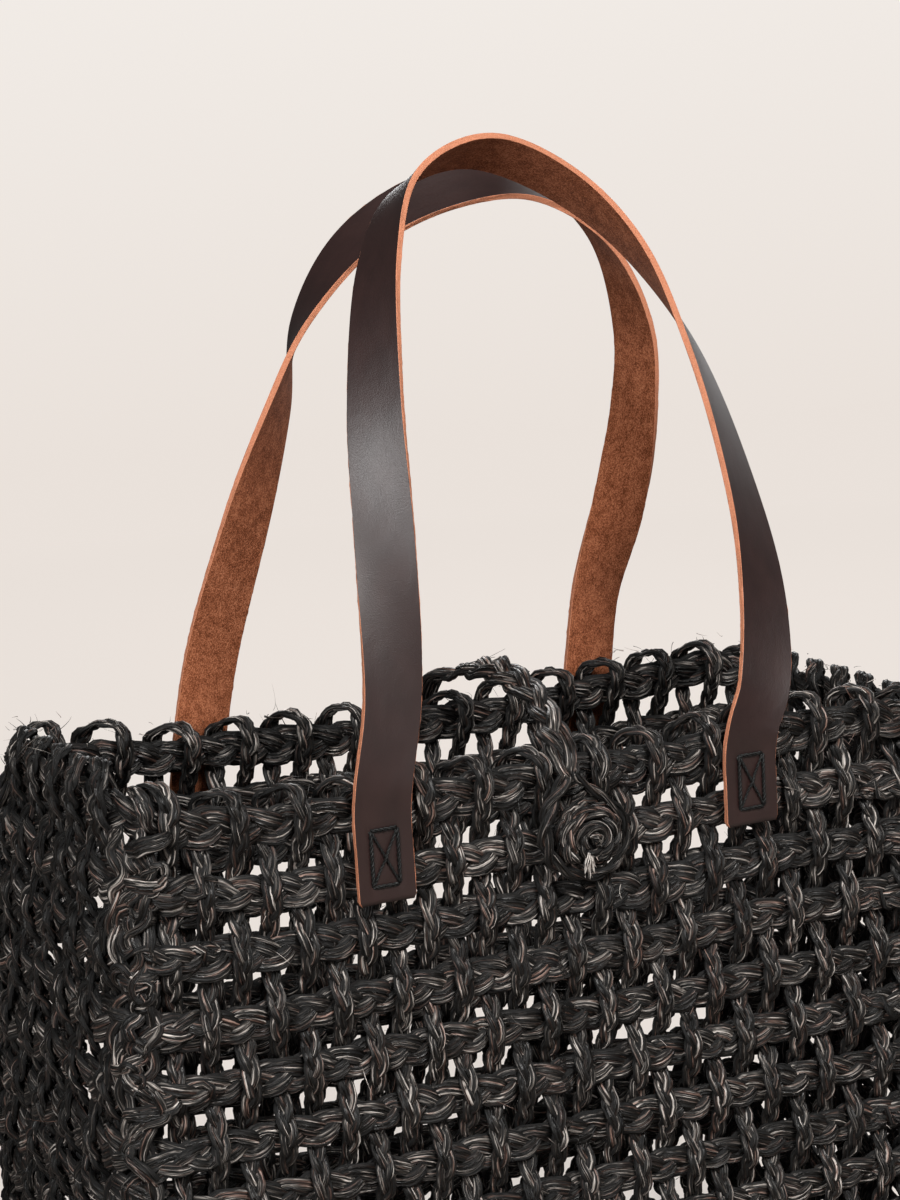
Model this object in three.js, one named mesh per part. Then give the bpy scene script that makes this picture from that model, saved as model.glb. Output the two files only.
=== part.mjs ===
// A woven grass tote bag with two leather handles, a coiled rosette button and a closing loop.
// Millimetres, +Z up. The origin is on the floor under the middle of the bag, the front faces -Y.
import * as THREE from 'three';

// Plan of the bag: a rounded rectangle, counted in warp columns along its outline.
const COLUMN_PITCH = 13.5;
const FRONT_PAIRS = 14; // hairpin warps that run from the front wall to the back wall
const END_PAIRS = 5; // hairpin warps that run from one end wall to the other
const END_PITCH = 11.05; // between the columns on the straight part of the ends, which are denser
const CORNER_COLUMNS = 3; // columns on each rounded corner
const CORNER_ON_FRONT = 2; // of those, the ones that belong to the front or back wall

// Rows of the weave.
const WEFT_ROWS = 11;
const ROW_PITCH = 26;
const RIM_PITCH = 27.5; // from the highest weft to the rim
const LOWEST_ROW = 16; // height of the lowest weft's centre line

// Flat plaits.
const WEFT_HEIGHT = 16;
const WEFT_THICKNESS = 4;
const RIM_HEIGHT = 19;
const RIM_THICKNESS = 5;
const WARP_WIDTH = 8.5;
const WARP_THICKNESS = 3;
const WEAVE_GAP = 0.6; // between a warp and the plait that it crosses
const SEAT_GAP = 0.35; // between pieces that are sewn or lie on each other

// How far the rim of this soft bag rises: x, then on the front and on the back wall.
const RIM_RISE = [
  [-188, 14, 13],
  [-162, 4, 6],
  [-120, 0, -1],
  [-45, 0, -5],
  [40, 0, -4],
  [100, 3.5, 0],
  [155, 4, 2],
  [188, -3, -7],
];
const WAVE_ROWS = 5; // rows, the rim included, that follow it less and less

// The back wall leans out to a deeper base, the ends bulge, most of all at the back, and the left
// end's rim runs outwards to the back.
const BASE_SPREAD = 75;
const BULGE_FRONT = 6;
const BULGE_BACK = 16;
const LEFT_SKEW = 16;
const BULGE_FROM = 110; // from the bag's middle

// How a warp goes over the rim.
const ARCH_LIFT = 4; // slack over the rim
const ARCH_SHOULDER = 0.9; // of its distance from the wall's middle, where it starts to bend over
const ARCH_LEAN = 1.2; // how much it faces up there, for 1 outwards
const ARCH_REACH = 0.9; // of its thickness, from its inside there to its furthest out

// How a warp turns under the base.
const TURN_OFFSET = 2; // from the wall's middle, at the turn
const TURN_RISE = 0.6; // of the turn above the base run
const TURN_LENGTH = 14; // from the wall to where the warp lies flat

// Leather handles: one strap each, sewn flat to the outside of the bag at both ends.
const STRAP_WIDTH = 25;
const STRAP_THICKNESS = 2.8;
const TAB_LENGTH = 34;
const TAB_CORNER = 1.2;
const FOLD_GAP = 0.15; // from the fold line to each side of it
const STITCH_WIDTH = 13;
const STITCH_LENGTH = 26;
const STITCH_LINE = 1.3; // width of a row of thread
const STITCH_HEIGHT = 0.8;
const STITCH_FROM_TOP = 3;

// Route of each strap between its two fold lines, and where its smooth side faces there.
// The first and last points lie over the tabs, so they set where the tabs are sewn.
const FRONT_FOLD_HEIGHT = 304;
const FRONT_ROUTE = [
  { x: -80, height: 0, face: [0, -1, 0] },
  { x: -79, height: 12, face: [0, -1, 0] },
  { x: -71, y: -74, z: 348, face: [0, -1, 0.1] },
  { x: -66, y: -62, z: 408, face: [-0.4, -0.9, 0.2] },
  { x: -60, y: -46, z: 468, face: [-0.7, -0.6, 0.3] },
  { x: -45, y: -23, z: 523, face: [-0.8, -0.2, 0.5] },
  { x: -23, y: -4, z: 553, face: [-0.65, 0.2, 0.7] },
  { x: 18, y: 12, z: 565, face: [-0.1, 0.5, 0.85] },
  { x: 58, y: 17, z: 550, face: [0.5, 0.45, 0.75] },
  { x: 90, y: 11, z: 520, face: [0.8, 0.05, 0.55] },
  { x: 112, y: -3, z: 473, face: [0.75, -0.5, 0.4] },
  { x: 120, y: -32, z: 404, face: [0.5, -0.8, 0.35] },
  { x: 114, y: -55, z: 364, face: [0.2, -0.95, 0.3] },
  { x: 102, y: -74, z: 331, face: [0, -1, 0.2] },
  { x: 94, height: 12, face: [0, -1, 0] },
  { x: 92, height: 0, face: [0, -1, 0] },
];
const BACK_FOLD_HEIGHT = 279;
const BACK_ROUTE = [
  { x: -108, height: 0, face: [0, 1, 0] },
  { x: -106, height: 30, face: [0, 1, 0] },
  { x: -97, y: 79, z: 348, face: [0, 1, 0.1] },
  { x: -77, y: 72, z: 411, face: [-0.3, 0.95, 0.15] },
  { x: -61, y: 70, z: 455, face: [-0.7, 0.7, 0.25] },
  { x: -46, y: 71, z: 495, face: [-0.85, 0.05, 0.45] },
  { x: -18, y: 68, z: 529, face: [-0.6, -0.45, 0.7] },
  { x: 24, y: 63, z: 548, face: [-0.2, -0.65, 0.75] },
  { x: 63, y: 58, z: 547, face: [0.25, -0.45, 0.85] },
  { x: 98, y: 56, z: 521, face: [0.8, -0.15, 0.6] },
  { x: 115, y: 58, z: 478, face: [0.95, 0.3, 0.15] },
  { x: 115, y: 61, z: 440, face: [0.85, 0.5, 0] },
  { x: 108, y: 67, z: 394, face: [0.5, 0.85, 0] },
  { x: 99, y: 78, z: 350, face: [0, 1, 0.1] },
  { x: 93, height: 30, face: [0, 1, 0] },
  { x: 91, height: 0, face: [0, 1, 0] },
];
const ROUTE_STEPS = 4; // stations from one route point to the next

// Rosette button and closing loop, a little right of the bag's middle.
const BUTTON_X = 11;
const BUTTON_HEIGHT = 281; // of its centre above the floor
const BUTTON_RADIUS = 15.2;
const BUTTON_DEPTH = 11;
const BUTTON_TURNS = 3;
const BUTTON_EDGE = 1.5; // its back face is this much smaller all round
const BUTTON_EDGE_DEPTH = 0.35; // of its depth, where it is widest
const BUTTON_SHOULDER = 0.72; // of its depth, at the outermost turn
const GROOVE_DEPTH = 1.2; // between its turns
const GROOVE_FLANK = 0.3; // of a turn's width, on each side of it
const LOOP_CLEARANCE = 2.8; // round the button
const EYE_WIDTH = 6;
const EYE_THICKNESS = 5;
const EYE_NECK = 0.7; // from the ring to its fold line
const BAND_WIDTH = 12;
const BAND_THICKNESS = 4.5;
const BAND_LIFT = 1.2; // slack over the rim's warps
const BAND_RISE = 17; // from there to the middle of the mouth
const BAND_ARCH = [0.83, 0.4, 0, -0.4, -0.83]; // points of its arch, in shares of the half depth
const BAND_OVERHANG = 3.5; // from the wall's middle to where it starts to bend down
const BAND_EDGE_RISE = 0.7; // of that place over its rest on the rim's warps
const BAND_TURN_DROP = 9; // from its rest to where it lies flat on the wall
const BAND_STEPS = 3; // stations from one point of its route to the next
const BAND_BACK_X = 4;
const BAND_BACK_DROP = 22; // from its rest to its end, outside the back wall

// Worked-out sizes.
const frontColumns = 2 * FRONT_PAIRS;
const endColumns = 2 * END_PAIRS;
const columnsAround = 2 * (frontColumns + endColumns);
const halfAround = columnsAround / 2;
const cornerRadius = (CORNER_COLUMNS * COLUMN_PITCH) / (Math.PI / 2);
const frontStraight = frontColumns / 2 - CORNER_ON_FRONT; // half of it, in columns
const endStraight = endColumns / 2 - (CORNER_COLUMNS - CORNER_ON_FRONT);
const halfWidth = frontStraight * COLUMN_PITCH + cornerRadius;
const halfDepth = endStraight * END_PITCH + cornerRadius;
const rimHeight = LOWEST_ROW + (WEFT_ROWS - 1) * ROW_PITCH + RIM_PITCH;
const rimDip = -Math.min(...RIM_RISE.flatMap(([, front, back]) => [front, back]));
const backLean = Math.atan(BASE_SPREAD / rimHeight);

// A warp leans from the outside of one plait to the inside of the next one, so its distance from
// the wall's middle is what clears the lower edge of the plait that it leaves.
const nearest = WARP_THICKNESS / 2 + WEAVE_GAP;
const warpOffset = Math.max(
  WEFT_THICKNESS / 2 + nearest,
  nearest / (1 - WEFT_HEIGHT / ROW_PITCH),
);
const rimShare = RIM_HEIGHT / 2 / (RIM_PITCH - rimDip / WAVE_ROWS);
const rimOffset = Math.max(
  RIM_THICKNESS / 2 + nearest,
  (nearest + warpOffset * rimShare) / (1 - rimShare),
);
const archRise = RIM_HEIGHT / 2 + nearest + ARCH_LIFT; // of a warp's middle over the rim's middle
const rimTop = rimHeight + archRise + WARP_THICKNESS / 2;
const wallFace = Math.max(
  rimOffset + WARP_THICKNESS / 2,
  ARCH_SHOULDER * rimOffset + ARCH_REACH * WARP_THICKNESS,
);
const strapMiddle = halfDepth + wallFace + SEAT_GAP + STRAP_THICKNESS / 2;
const frontBaseMiddle = WARP_THICKNESS / 2;
const endBaseMiddle = WARP_THICKNESS + SEAT_GAP + WARP_THICKNESS / 2;

const GRASS = { color: 0x2b2828, roughness: 0.85, metalness: 0 };
const LEATHER = { color: 0x3a2d2a, roughness: 0.55, metalness: 0 };
const THREAD = { color: 0x1b1c1c, roughness: 0.8, metalness: 0 };

function vector(x, y, z) {
  return new THREE.Vector3(x, y, z);
}

function named(name, geometry, look) {
  const mesh = new THREE.Mesh(geometry, new THREE.MeshStandardMaterial(look));
  mesh.name = name;
  return mesh;
}

function triangleGeometry(points, triangles) {
  const geometry = new THREE.BufferGeometry();
  const numbers = points.flatMap((p) => [p.x, p.y, p.z]);
  geometry.setAttribute('position', new THREE.Float32BufferAttribute(numbers, 3));
  geometry.setIndex(triangles);
  geometry.computeVertexNormals();
  return geometry;
}

// Joins equal sections into one solid. Each section is a list of points that runs clockwise
// when seen along the direction of travel.
function loft(sections, closed) {
  const sides = sections[0].length;
  const count = sections.length;
  const triangles = [];
  for (let i = 0; i < (closed ? count : count - 1); i += 1) {
    const here = i * sides;
    const next = ((i + 1) % count) * sides;
    for (let j = 0; j < sides; j += 1) {
      const k = (j + 1) % sides;
      triangles.push(here + j, here + k, next + k);
      triangles.push(here + j, next + k, next + j);
    }
  }
  if (!closed) {
    const last = (count - 1) * sides;
    for (let j = 1; j < sides - 1; j += 1) {
      triangles.push(0, j + 1, j);
      triangles.push(last, last + j, last + j + 1);
    }
  }
  return triangleGeometry(sections.flat(), triangles);
}

// A flat section round a point: wide is its unit direction of width, travel that of its path.
function flatSection(point, wide, travel, width, thickness) {
  const across = wide.clone().addScaledVector(travel, -wide.dot(travel)).normalize();
  const face = across.clone().cross(travel).normalize();
  const corners = [[1, 1], [1, -1], [-1, -1], [-1, 1]];
  return corners.map(([w, f]) =>
    point
      .clone()
      .addScaledVector(across, (w * width) / 2)
      .addScaledVector(face, (f * thickness) / 2),
  );
}

// The plan outline, at a number of columns from the middle of the front, to the right.
function planPoint(columns) {
  const place = ((columns % columnsAround) + columnsAround) % columnsAround;
  const toRight = place <= halfAround ? 1 : -1;
  const along = toRight > 0 ? place : columnsAround - place;
  const toBack = along > halfAround / 2 ? 1 : -1;
  const fromMiddle = toBack > 0 ? halfAround - along : along;
  const beyond = fromMiddle - frontStraight;
  let x = fromMiddle * COLUMN_PITCH;
  let y = halfDepth;
  if (beyond > CORNER_COLUMNS) {
    x = halfWidth;
    y = (frontColumns / 2 + endColumns / 2 - fromMiddle) * END_PITCH;
  } else if (beyond > 0) {
    const turn = (beyond / CORNER_COLUMNS) * (Math.PI / 2);
    x = halfWidth - cornerRadius + cornerRadius * Math.sin(turn);
    y = halfDepth - cornerRadius + cornerRadius * Math.cos(turn);
  }
  return vector(toRight * x, toBack * y, 0);
}

// From 0 to 1 while value goes from start to end, without a corner.
function smoothly(value, start, end) {
  return THREE.MathUtils.smoothstep(value, start, end);
}

// 0 on the front wall, 1 on the back wall.
function backShare(point) {
  return 0.5 + point.y / (2 * halfDepth);
}

// How far the rim rises over a plan point.
function rimRise(point) {
  let next = RIM_RISE.findIndex(([x]) => x > point.x);
  if (next < 1) next = next < 0 ? RIM_RISE.length - 1 : 1;
  const [startX, ...start] = RIM_RISE[next - 1];
  const [endX, ...end] = RIM_RISE[next];
  const share = smoothly(point.x, startX, endX);
  const [front, back] = start.map((rise, i) => rise + (end[i] - rise) * share);
  return front + (back - front) * backShare(point);
}

// Height of a row's middle over a plan point. Row 0 is the rim and the rows count down.
function rowHeight(row, point) {
  const level = row === 0 ? rimHeight : LOWEST_ROW + (WEFT_ROWS - row) * ROW_PITCH;
  return level + rimRise(point) * Math.max(0, 1 - row / WAVE_ROWS);
}

// How far a place on the upright walls moves in the slumped bag, at a height.
function slump(place, height) {
  const drop = 1 - height / rimHeight;
  const share = backShare(place);
  const bulge = BULGE_FRONT + (BULGE_BACK - BULGE_FRONT) * share;
  const atEnd = smoothly(Math.abs(place.x), BULGE_FROM, halfWidth);
  const skew = place.x < 0 ? LEFT_SKEW * share * (1 - drop) : 0;
  const sideways = Math.sign(place.x) * atEnd * (bulge * 4 * drop * (1 - drop) + skew);
  return vector(sideways, BASE_SPREAD * drop * share, 0);
}

// Moves a point to its place in the slumped bag, as the places that it lies between.
function slumped(point, places) {
  const height = point.z;
  places.forEach((place) => {
    point.addScaledVector(slump(place, height), 1 / places.length);
  });
  return point;
}

// The wall at a warp column: its middle, its direction to the right seen from outside, and outwards.
function columnAt(columns) {
  const left = planPoint(columns - 0.5);
  const right = planPoint(columns + 0.5);
  const along = right.clone().sub(left).normalize();
  return {
    columns,
    ends: [left, right],
    middle: left.clone().add(right).multiplyScalar(0.5),
    along,
    out: vector(along.y, -along.x, 0),
  };
}

// Over and under: 1 where the warp is outside the row's plait, -1 where it is inside.
function phaseOf(column, row) {
  const index = Math.round(column.columns + frontColumns / 2 - 0.5);
  return Math.abs(index + row) % 2 === 0 ? -1 : 1;
}

function onWall(column, row, outwards, rise = 0) {
  const point = column.middle.clone().addScaledVector(column.out, outwards);
  const [left, right] = column.ends.map((end) => rowHeight(row, end));
  point.z = (left + right) / 2 + rise;
  return slumped(point, column.ends);
}

// The direction of a column's width at a height of the slumped bag, on the side of side.
function acrossAt(column, height, side) {
  const [left, right] = column.ends.map((end) => end.clone().add(slump(end, height)));
  const across = right.sub(left).normalize();
  return across.dot(side) < 0 ? across.negate() : across;
}

// The stations of one leg of a warp, from the base up to the rim.
function legStations(column, side, flatWide, outAxis, baseMiddle) {
  const lowestPhase = phaseOf(column, WEFT_ROWS);
  const flat = column.middle.clone().addScaledVector(outAxis, -TURN_LENGTH);
  flat.z = baseMiddle;
  slumped(flat, column.ends);
  const turn = column.middle.clone().addScaledVector(column.out, lowestPhase * TURN_OFFSET);
  turn.z = baseMiddle + TURN_RISE;
  slumped(turn, column.ends);
  const up = vector(0, 0, 1);
  const lowest = acrossAt(column, 0, side);
  const stations = [
    { point: flat, wide: flatWide, travel: outAxis.clone() },
    { point: turn, wide: lowest, travel: column.out.clone().add(up).normalize() },
  ];
  for (let row = WEFT_ROWS; row >= 0; row -= 1) {
    const offset = phaseOf(column, row) * (row === 0 ? rimOffset : warpOffset);
    const point = onWall(column, row, offset);
    stations.push({ point, wide: acrossAt(column, point.z, side), travel: up.clone() });
  }
  return stations;
}

function reversed(stations) {
  return stations
    .map((s) => ({ point: s.point, wide: s.wide, travel: s.travel.clone().negate() }))
    .reverse();
}

// The stations that carry a warp over the rim, from the top of one leg to that of the next.
function archStations(from, to, wide) {
  const shoulder = ARCH_SHOULDER * rimOffset;
  const first = onWall(from, 0, phaseOf(from, 0) * shoulder, RIM_HEIGHT / 2);
  const last = onWall(to, 0, phaseOf(to, 0) * shoulder, RIM_HEIGHT / 2);
  const crown = planPoint((from.columns + to.columns) / 2);
  const place = crown.clone();
  crown.z = rowHeight(0, crown) + archRise;
  slumped(crown, [place]);
  const points = [onWall(from, 0, phaseOf(from, 0) * rimOffset), first, crown, last,
    onWall(to, 0, phaseOf(to, 0) * rimOffset)];
  const away = [
    null,
    from.out.clone().multiplyScalar(phaseOf(from, 0)).add(vector(0, 0, ARCH_LEAN)),
    vector(0, 0, 1),
    to.out.clone().multiplyScalar(phaseOf(to, 0)).add(vector(0, 0, ARCH_LEAN)),
  ];
  const upright = wide.clone().cross(vector(0, 0, 1));
  const sign = Math.sign(upright.dot(from.out) * phaseOf(from, 0));
  return [1, 2, 3].map((i) => {
    const travel = points[i + 1].clone().sub(points[i - 1]).normalize();
    const face = away[i].multiplyScalar(sign);
    return { point: points[i], wide: travel.clone().cross(face).normalize(), travel };
  });
}

// One warp: up one column, over the rim, down the next column, under the base, and the same
// on the opposite wall, as one closed ring.
function hairpinWarp(left, right, leftOpposite, rightOpposite, outAxis, baseMiddle) {
  const flatWide = vector(-outAxis.y, outAxis.x, 0);
  const back = outAxis.clone().negate();
  const near = (c) => legStations(c, c.along, flatWide, outAxis, baseMiddle);
  const far = (c) => legStations(c, c.along.clone().negate(), flatWide, back, baseMiddle);
  const stations = [
    ...near(left),
    ...archStations(left, right, left.along),
    ...reversed(near(right)),
    ...far(rightOpposite),
    ...archStations(rightOpposite, leftOpposite, rightOpposite.along.clone().negate()),
    ...reversed(far(leftOpposite)),
  ];
  const sections = stations.map((s) =>
    flatSection(s.point, s.wide, s.travel, WARP_WIDTH, WARP_THICKNESS),
  );
  return loft(sections, true);
}

// Whether a straight stretch of a wall rises or dips here.
function hasWave(point) {
  return Math.abs(point.y) === halfDepth && rimRise(point) !== 0;
}

// One closed ring of flat plait round the bag, with a lens-like section.
function weftRing(row, height, thickness) {
  const places = [];
  for (let place = 0; place < columnsAround; place += 1) {
    const point = planPoint(place);
    const before = planPoint(place - 1);
    const after = planPoint(place + 1);
    const turn = point.clone().sub(before).cross(after.clone().sub(point)).z;
    const waves = row < WAVE_ROWS && place % 2 === 0 && hasWave(point);
    if (Math.abs(turn) > 0.01 || waves) places.push(place);
  }
  const points = places.map(planPoint);
  const sections = points.map((point, i) => {
    const before = points[(i + points.length - 1) % points.length];
    const after = points[(i + 1) % points.length];
    const arriving = point.clone().sub(before).normalize();
    const leaving = after.clone().sub(point).normalize();
    const middle = arriving.clone().add(leaving).normalize();
    const mitre = thickness / 2 / middle.dot(leaving);
    const out = vector(middle.y, -middle.x, 0);
    const z = rowHeight(row, point);
    const at = (sideways, rise) => {
      const corner = point.clone().addScaledVector(out, sideways);
      corner.z = z + rise;
      return slumped(corner, [point]);
    };
    return [at(mitre, 0), at(0, -height / 2), at(-mitre, 0), at(0, height / 2)];
  });
  return loft(sections, true);
}

// A point in the middle of a strap that lies flat on the outside of a wall.
function onStrapPlane(x, side, z) {
  return slumped(vector(x, side * strapMiddle, z), [vector(x, side * halfDepth, 0)]);
}

// A strap's free length from fold line to fold line.
function handleStrap(route, side, foldHeight) {
  const lean = side > 0 ? backLean : 0;
  const places = route.map((p) =>
    p.height === undefined
      ? vector(p.x, p.y, p.z)
      : onStrapPlane(p.x, side, foldHeight + FOLD_GAP + p.height),
  );
  const faces = route.map((p) => vector(...p.face));
  const path = new THREE.CatmullRomCurve3(places, false, 'centripetal');
  const facing = new THREE.CatmullRomCurve3(faces, false, 'centripetal');
  const steps = (route.length - 1) * ROUTE_STEPS;
  const sections = [];
  for (let i = 0; i <= steps; i += 1) {
    const travel = path.getTangent(i / steps);
    if (i === 0) travel.set(0, -Math.sin(lean), Math.cos(lean));
    if (i === steps) travel.set(0, Math.sin(lean), -Math.cos(lean));
    const wide = travel.clone().cross(facing.getPoint(i / steps)).normalize();
    sections.push(
      flatSection(path.getPoint(i / steps), wide, travel, STRAP_WIDTH, STRAP_THICKNESS),
    );
  }
  return loft(sections, false);
}

function rectangle(shape, width, bottom, top, corner) {
  const half = width / 2;
  shape.moveTo(-half + corner, bottom);
  shape.lineTo(half - corner, bottom);
  shape.absarc(half - corner, bottom + corner, corner, -Math.PI / 2, 0);
  shape.lineTo(half, top);
  shape.lineTo(-half, top);
  shape.lineTo(-half, bottom + corner);
  shape.absarc(-half + corner, bottom + corner, corner, Math.PI, Math.PI * 1.5);
  return shape;
}

// Extrudes an upright outline from the plane y = 0 towards the front or the back.
function uprightPlate(shape, depth, side) {
  const geometry = new THREE.ExtrudeGeometry(shape, {
    depth,
    bevelEnabled: false,
    curveSegments: 3,
  });
  geometry.rotateX(Math.PI / 2);
  if (side > 0) geometry.translate(0, depth, 0);
  return geometry;
}

// The end of a strap, sewn flat to the wall, with its box of stitching.
function sewnEnd(place, x, side, foldHeight) {
  const group = new THREE.Group();
  const top = -FOLD_GAP;
  const tabShape = rectangle(new THREE.Shape(), STRAP_WIDTH, top - TAB_LENGTH, top, TAB_CORNER);
  const tab = named(`${place}_tab`, uprightPlate(tabShape, STRAP_THICKNESS, side), LEATHER);
  tab.position.y = (-side * STRAP_THICKNESS) / 2;
  const stitch = named(`${place}_stitch`, uprightPlate(stitchShape(), STITCH_HEIGHT, side), THREAD);
  stitch.position.y = side * (STRAP_THICKNESS / 2 + SEAT_GAP);
  group.add(tab, stitch);
  group.position.copy(onStrapPlane(x, side, foldHeight));
  group.rotation.x = side > 0 ? backLean : 0;
  return group;
}

// A box of thread with a cross in it.
function stitchShape() {
  const top = -FOLD_GAP - STITCH_FROM_TOP;
  const bottom = top - STITCH_LENGTH;
  const half = STITCH_WIDTH / 2;
  const shape = new THREE.Shape();
  shape.moveTo(-half, bottom);
  shape.lineTo(half, bottom);
  shape.lineTo(half, top);
  shape.lineTo(-half, top);
  const middle = (top + bottom) / 2;
  const diagonal = Math.hypot(STITCH_WIDTH, STITCH_LENGTH);
  const overX = (STITCH_LINE * diagonal) / (2 * STITCH_LENGTH);
  const overZ = (STITCH_LINE * diagonal) / (2 * STITCH_WIDTH);
  const slope = STITCH_LENGTH / STITCH_WIDTH;
  const inner = half - STITCH_LINE;
  const innerTop = STITCH_LENGTH / 2 - STITCH_LINE;
  const sideRise = (inner - overX) * slope;
  const endReach = (innerTop - overZ) / slope;
  const holes = [
    [[0, overZ], [endReach, innerTop], [-endReach, innerTop]],
    [[0, -overZ], [-endReach, -innerTop], [endReach, -innerTop]],
    [[overX, 0], [inner, -sideRise], [inner, sideRise]],
    [[-overX, 0], [-inner, sideRise], [-inner, -sideRise]],
  ];
  holes.forEach((corners) => {
    const hole = new THREE.Path();
    corners.forEach(([x, z], i) =>
      i === 0 ? hole.moveTo(x, middle + z) : hole.lineTo(x, middle + z),
    );
    shape.holes.push(hole);
  });
  return shape;
}

// The coiled button: a low dome whose rings are the turns of the coil.
function rosetteButton(backFace) {
  const turnWidth = BUTTON_RADIUS / (BUTTON_TURNS + 0.5);
  const flank = GROOVE_FLANK * turnWidth;
  const profile = [new THREE.Vector2(0, 0), new THREE.Vector2(BUTTON_RADIUS - BUTTON_EDGE, 0)];
  profile.push(new THREE.Vector2(BUTTON_RADIUS, BUTTON_EDGE_DEPTH * BUTTON_DEPTH));
  for (let turn = 0; turn < BUTTON_TURNS; turn += 1) {
    const outer = BUTTON_RADIUS - turn * turnWidth;
    const share = BUTTON_SHOULDER + ((1 - BUTTON_SHOULDER) * turn) / BUTTON_TURNS;
    const height = BUTTON_DEPTH * share;
    profile.push(new THREE.Vector2(outer - flank, height));
    profile.push(new THREE.Vector2(outer - turnWidth + flank, height));
    profile.push(new THREE.Vector2(outer - turnWidth, height - GROOVE_DEPTH));
  }
  profile.push(new THREE.Vector2(flank, BUTTON_DEPTH));
  profile.push(new THREE.Vector2(0, BUTTON_DEPTH));
  const geometry = new THREE.LatheGeometry(profile, 20);
  geometry.rotateX(Math.PI);
  const button = named('rosette_button', geometry, GRASS);
  button.position.set(BUTTON_X, -backFace, BUTTON_HEIGHT);
  return button;
}

// The ring of the closing loop, which drops over the button and hangs from a fold line.
function loopEye(middlePlane) {
  const inner = BUTTON_RADIUS + LOOP_CLEARANCE;
  const outer = inner + EYE_WIDTH;
  const neck = BAND_WIDTH / 2;
  const meet = Math.asin(neck / outer);
  const shape = new THREE.Shape();
  shape.moveTo(-neck, outer + EYE_NECK);
  shape.absarc(0, 0, outer, Math.PI / 2 + meet, Math.PI * 2.5 - meet, false);
  shape.lineTo(neck, outer + EYE_NECK);
  const hole = new THREE.Path();
  hole.absarc(0, 0, inner, 0, Math.PI * 2, true);
  shape.holes.push(hole);
  const geometry = new THREE.ExtrudeGeometry(shape, {
    depth: EYE_THICKNESS,
    bevelEnabled: false,
    curveSegments: 28,
  });
  geometry.rotateX(Math.PI / 2);
  const eye = named('closing_loop_eye', geometry, GRASS);
  eye.position.set(BUTTON_X, -middlePlane + EYE_THICKNESS / 2, BUTTON_HEIGHT);
  return eye;
}

// The band of the closing loop: from outside the back wall, over the mouth, to the eye's fold.
function loopBand(middlePlane, endHeight) {
  const rest = rimTop + BAND_LIFT + BAND_THICKNESS / 2;
  const at = (y, z) => {
    const share = 0.5 - y / (2 * middlePlane);
    return vector(BAND_BACK_X + (BUTTON_X - BAND_BACK_X) * share, y, z);
  };
  const edge = halfDepth + BAND_OVERHANG;
  const places = [
    at(middlePlane, rest - BAND_BACK_DROP),
    at(middlePlane, rest - BAND_TURN_DROP),
    at(edge, rest + BAND_EDGE_RISE),
    ...BAND_ARCH.map((share) => at(share * halfDepth, rest + BAND_RISE * (1 - share * share))),
    at(-edge, rest + BAND_EDGE_RISE),
    at(-middlePlane, rest - BAND_TURN_DROP),
    at(-middlePlane, endHeight),
  ];
  const path = new THREE.CatmullRomCurve3(places, false, 'centripetal');
  const steps = (places.length - 1) * BAND_STEPS;
  const sections = [];
  for (let i = 0; i <= steps; i += 1) {
    const travel = path.getTangent(i / steps);
    if (i === steps) travel.set(0, 0, -1);
    sections.push(
      flatSection(path.getPoint(i / steps), vector(1, 0, 0), travel, BAND_WIDTH, BAND_THICKNESS),
    );
  }
  return named('closing_loop_band', loft(sections, false), GRASS);
}

function number(n) {
  return String(n).padStart(2, '0');
}

const bag = new THREE.Group();

bag.add(named('rim_braid', weftRing(0, RIM_HEIGHT, RIM_THICKNESS), GRASS));
for (let row = 1; row <= WEFT_ROWS; row += 1) {
  bag.add(named(`weft_braid_${number(row)}`, weftRing(row, WEFT_HEIGHT, WEFT_THICKNESS), GRASS));
}

for (let pair = 0; pair < FRONT_PAIRS; pair += 1) {
  const first = 2 * pair - frontColumns / 2 + 0.5;
  const columns = [first, first + 1, halfAround - first, halfAround - first - 1].map(columnAt);
  const geometry = hairpinWarp(...columns, vector(0, -1, 0), frontBaseMiddle);
  bag.add(named(`warp_braid_${number(pair + 1)}`, geometry, GRASS));
}

for (let pair = 0; pair < END_PAIRS; pair += 1) {
  const first = frontColumns / 2 + 2 * pair + 0.5;
  const columns = [first, first + 1, -first, -first - 1].map(columnAt);
  const geometry = hairpinWarp(...columns, vector(1, 0, 0), endBaseMiddle);
  bag.add(named(`end_warp_braid_${number(pair + 1)}`, geometry, GRASS));
}

[
  { place: 'front', side: -1, foldHeight: FRONT_FOLD_HEIGHT, route: FRONT_ROUTE },
  { place: 'back', side: 1, foldHeight: BACK_FOLD_HEIGHT, route: BACK_ROUTE },
].forEach(({ place, side, foldHeight, route }) => {
  bag.add(named(`${place}_handle_strap`, handleStrap(route, side, foldHeight), LEATHER));
  bag.add(sewnEnd(`${place}_left`, route[0].x, side, foldHeight));
  bag.add(sewnEnd(`${place}_right`, route[route.length - 1].x, side, foldHeight));
});

const loopPlane = halfDepth + rimOffset + WARP_THICKNESS / 2 + SEAT_GAP + EYE_THICKNESS / 2;
const eyeTop = BUTTON_HEIGHT + BUTTON_RADIUS + LOOP_CLEARANCE + EYE_WIDTH + EYE_NECK;
bag.add(rosetteButton(halfDepth + warpOffset + WARP_THICKNESS / 2 + SEAT_GAP));
bag.add(loopEye(loopPlane));
bag.add(loopBand(loopPlane, eyeTop + 2 * FOLD_GAP));

export default bag;
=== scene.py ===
# A woven bag of black grass with leather handles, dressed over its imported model.
# Lengths are in millimetres until a mesh is made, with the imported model's origin and axes.
from collections import namedtuple
from math import atan, cos, pi, radians, sin, tau

import bpy
import numpy as np
from mathutils import Matrix, Vector
from numpy.linalg import norm


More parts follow.
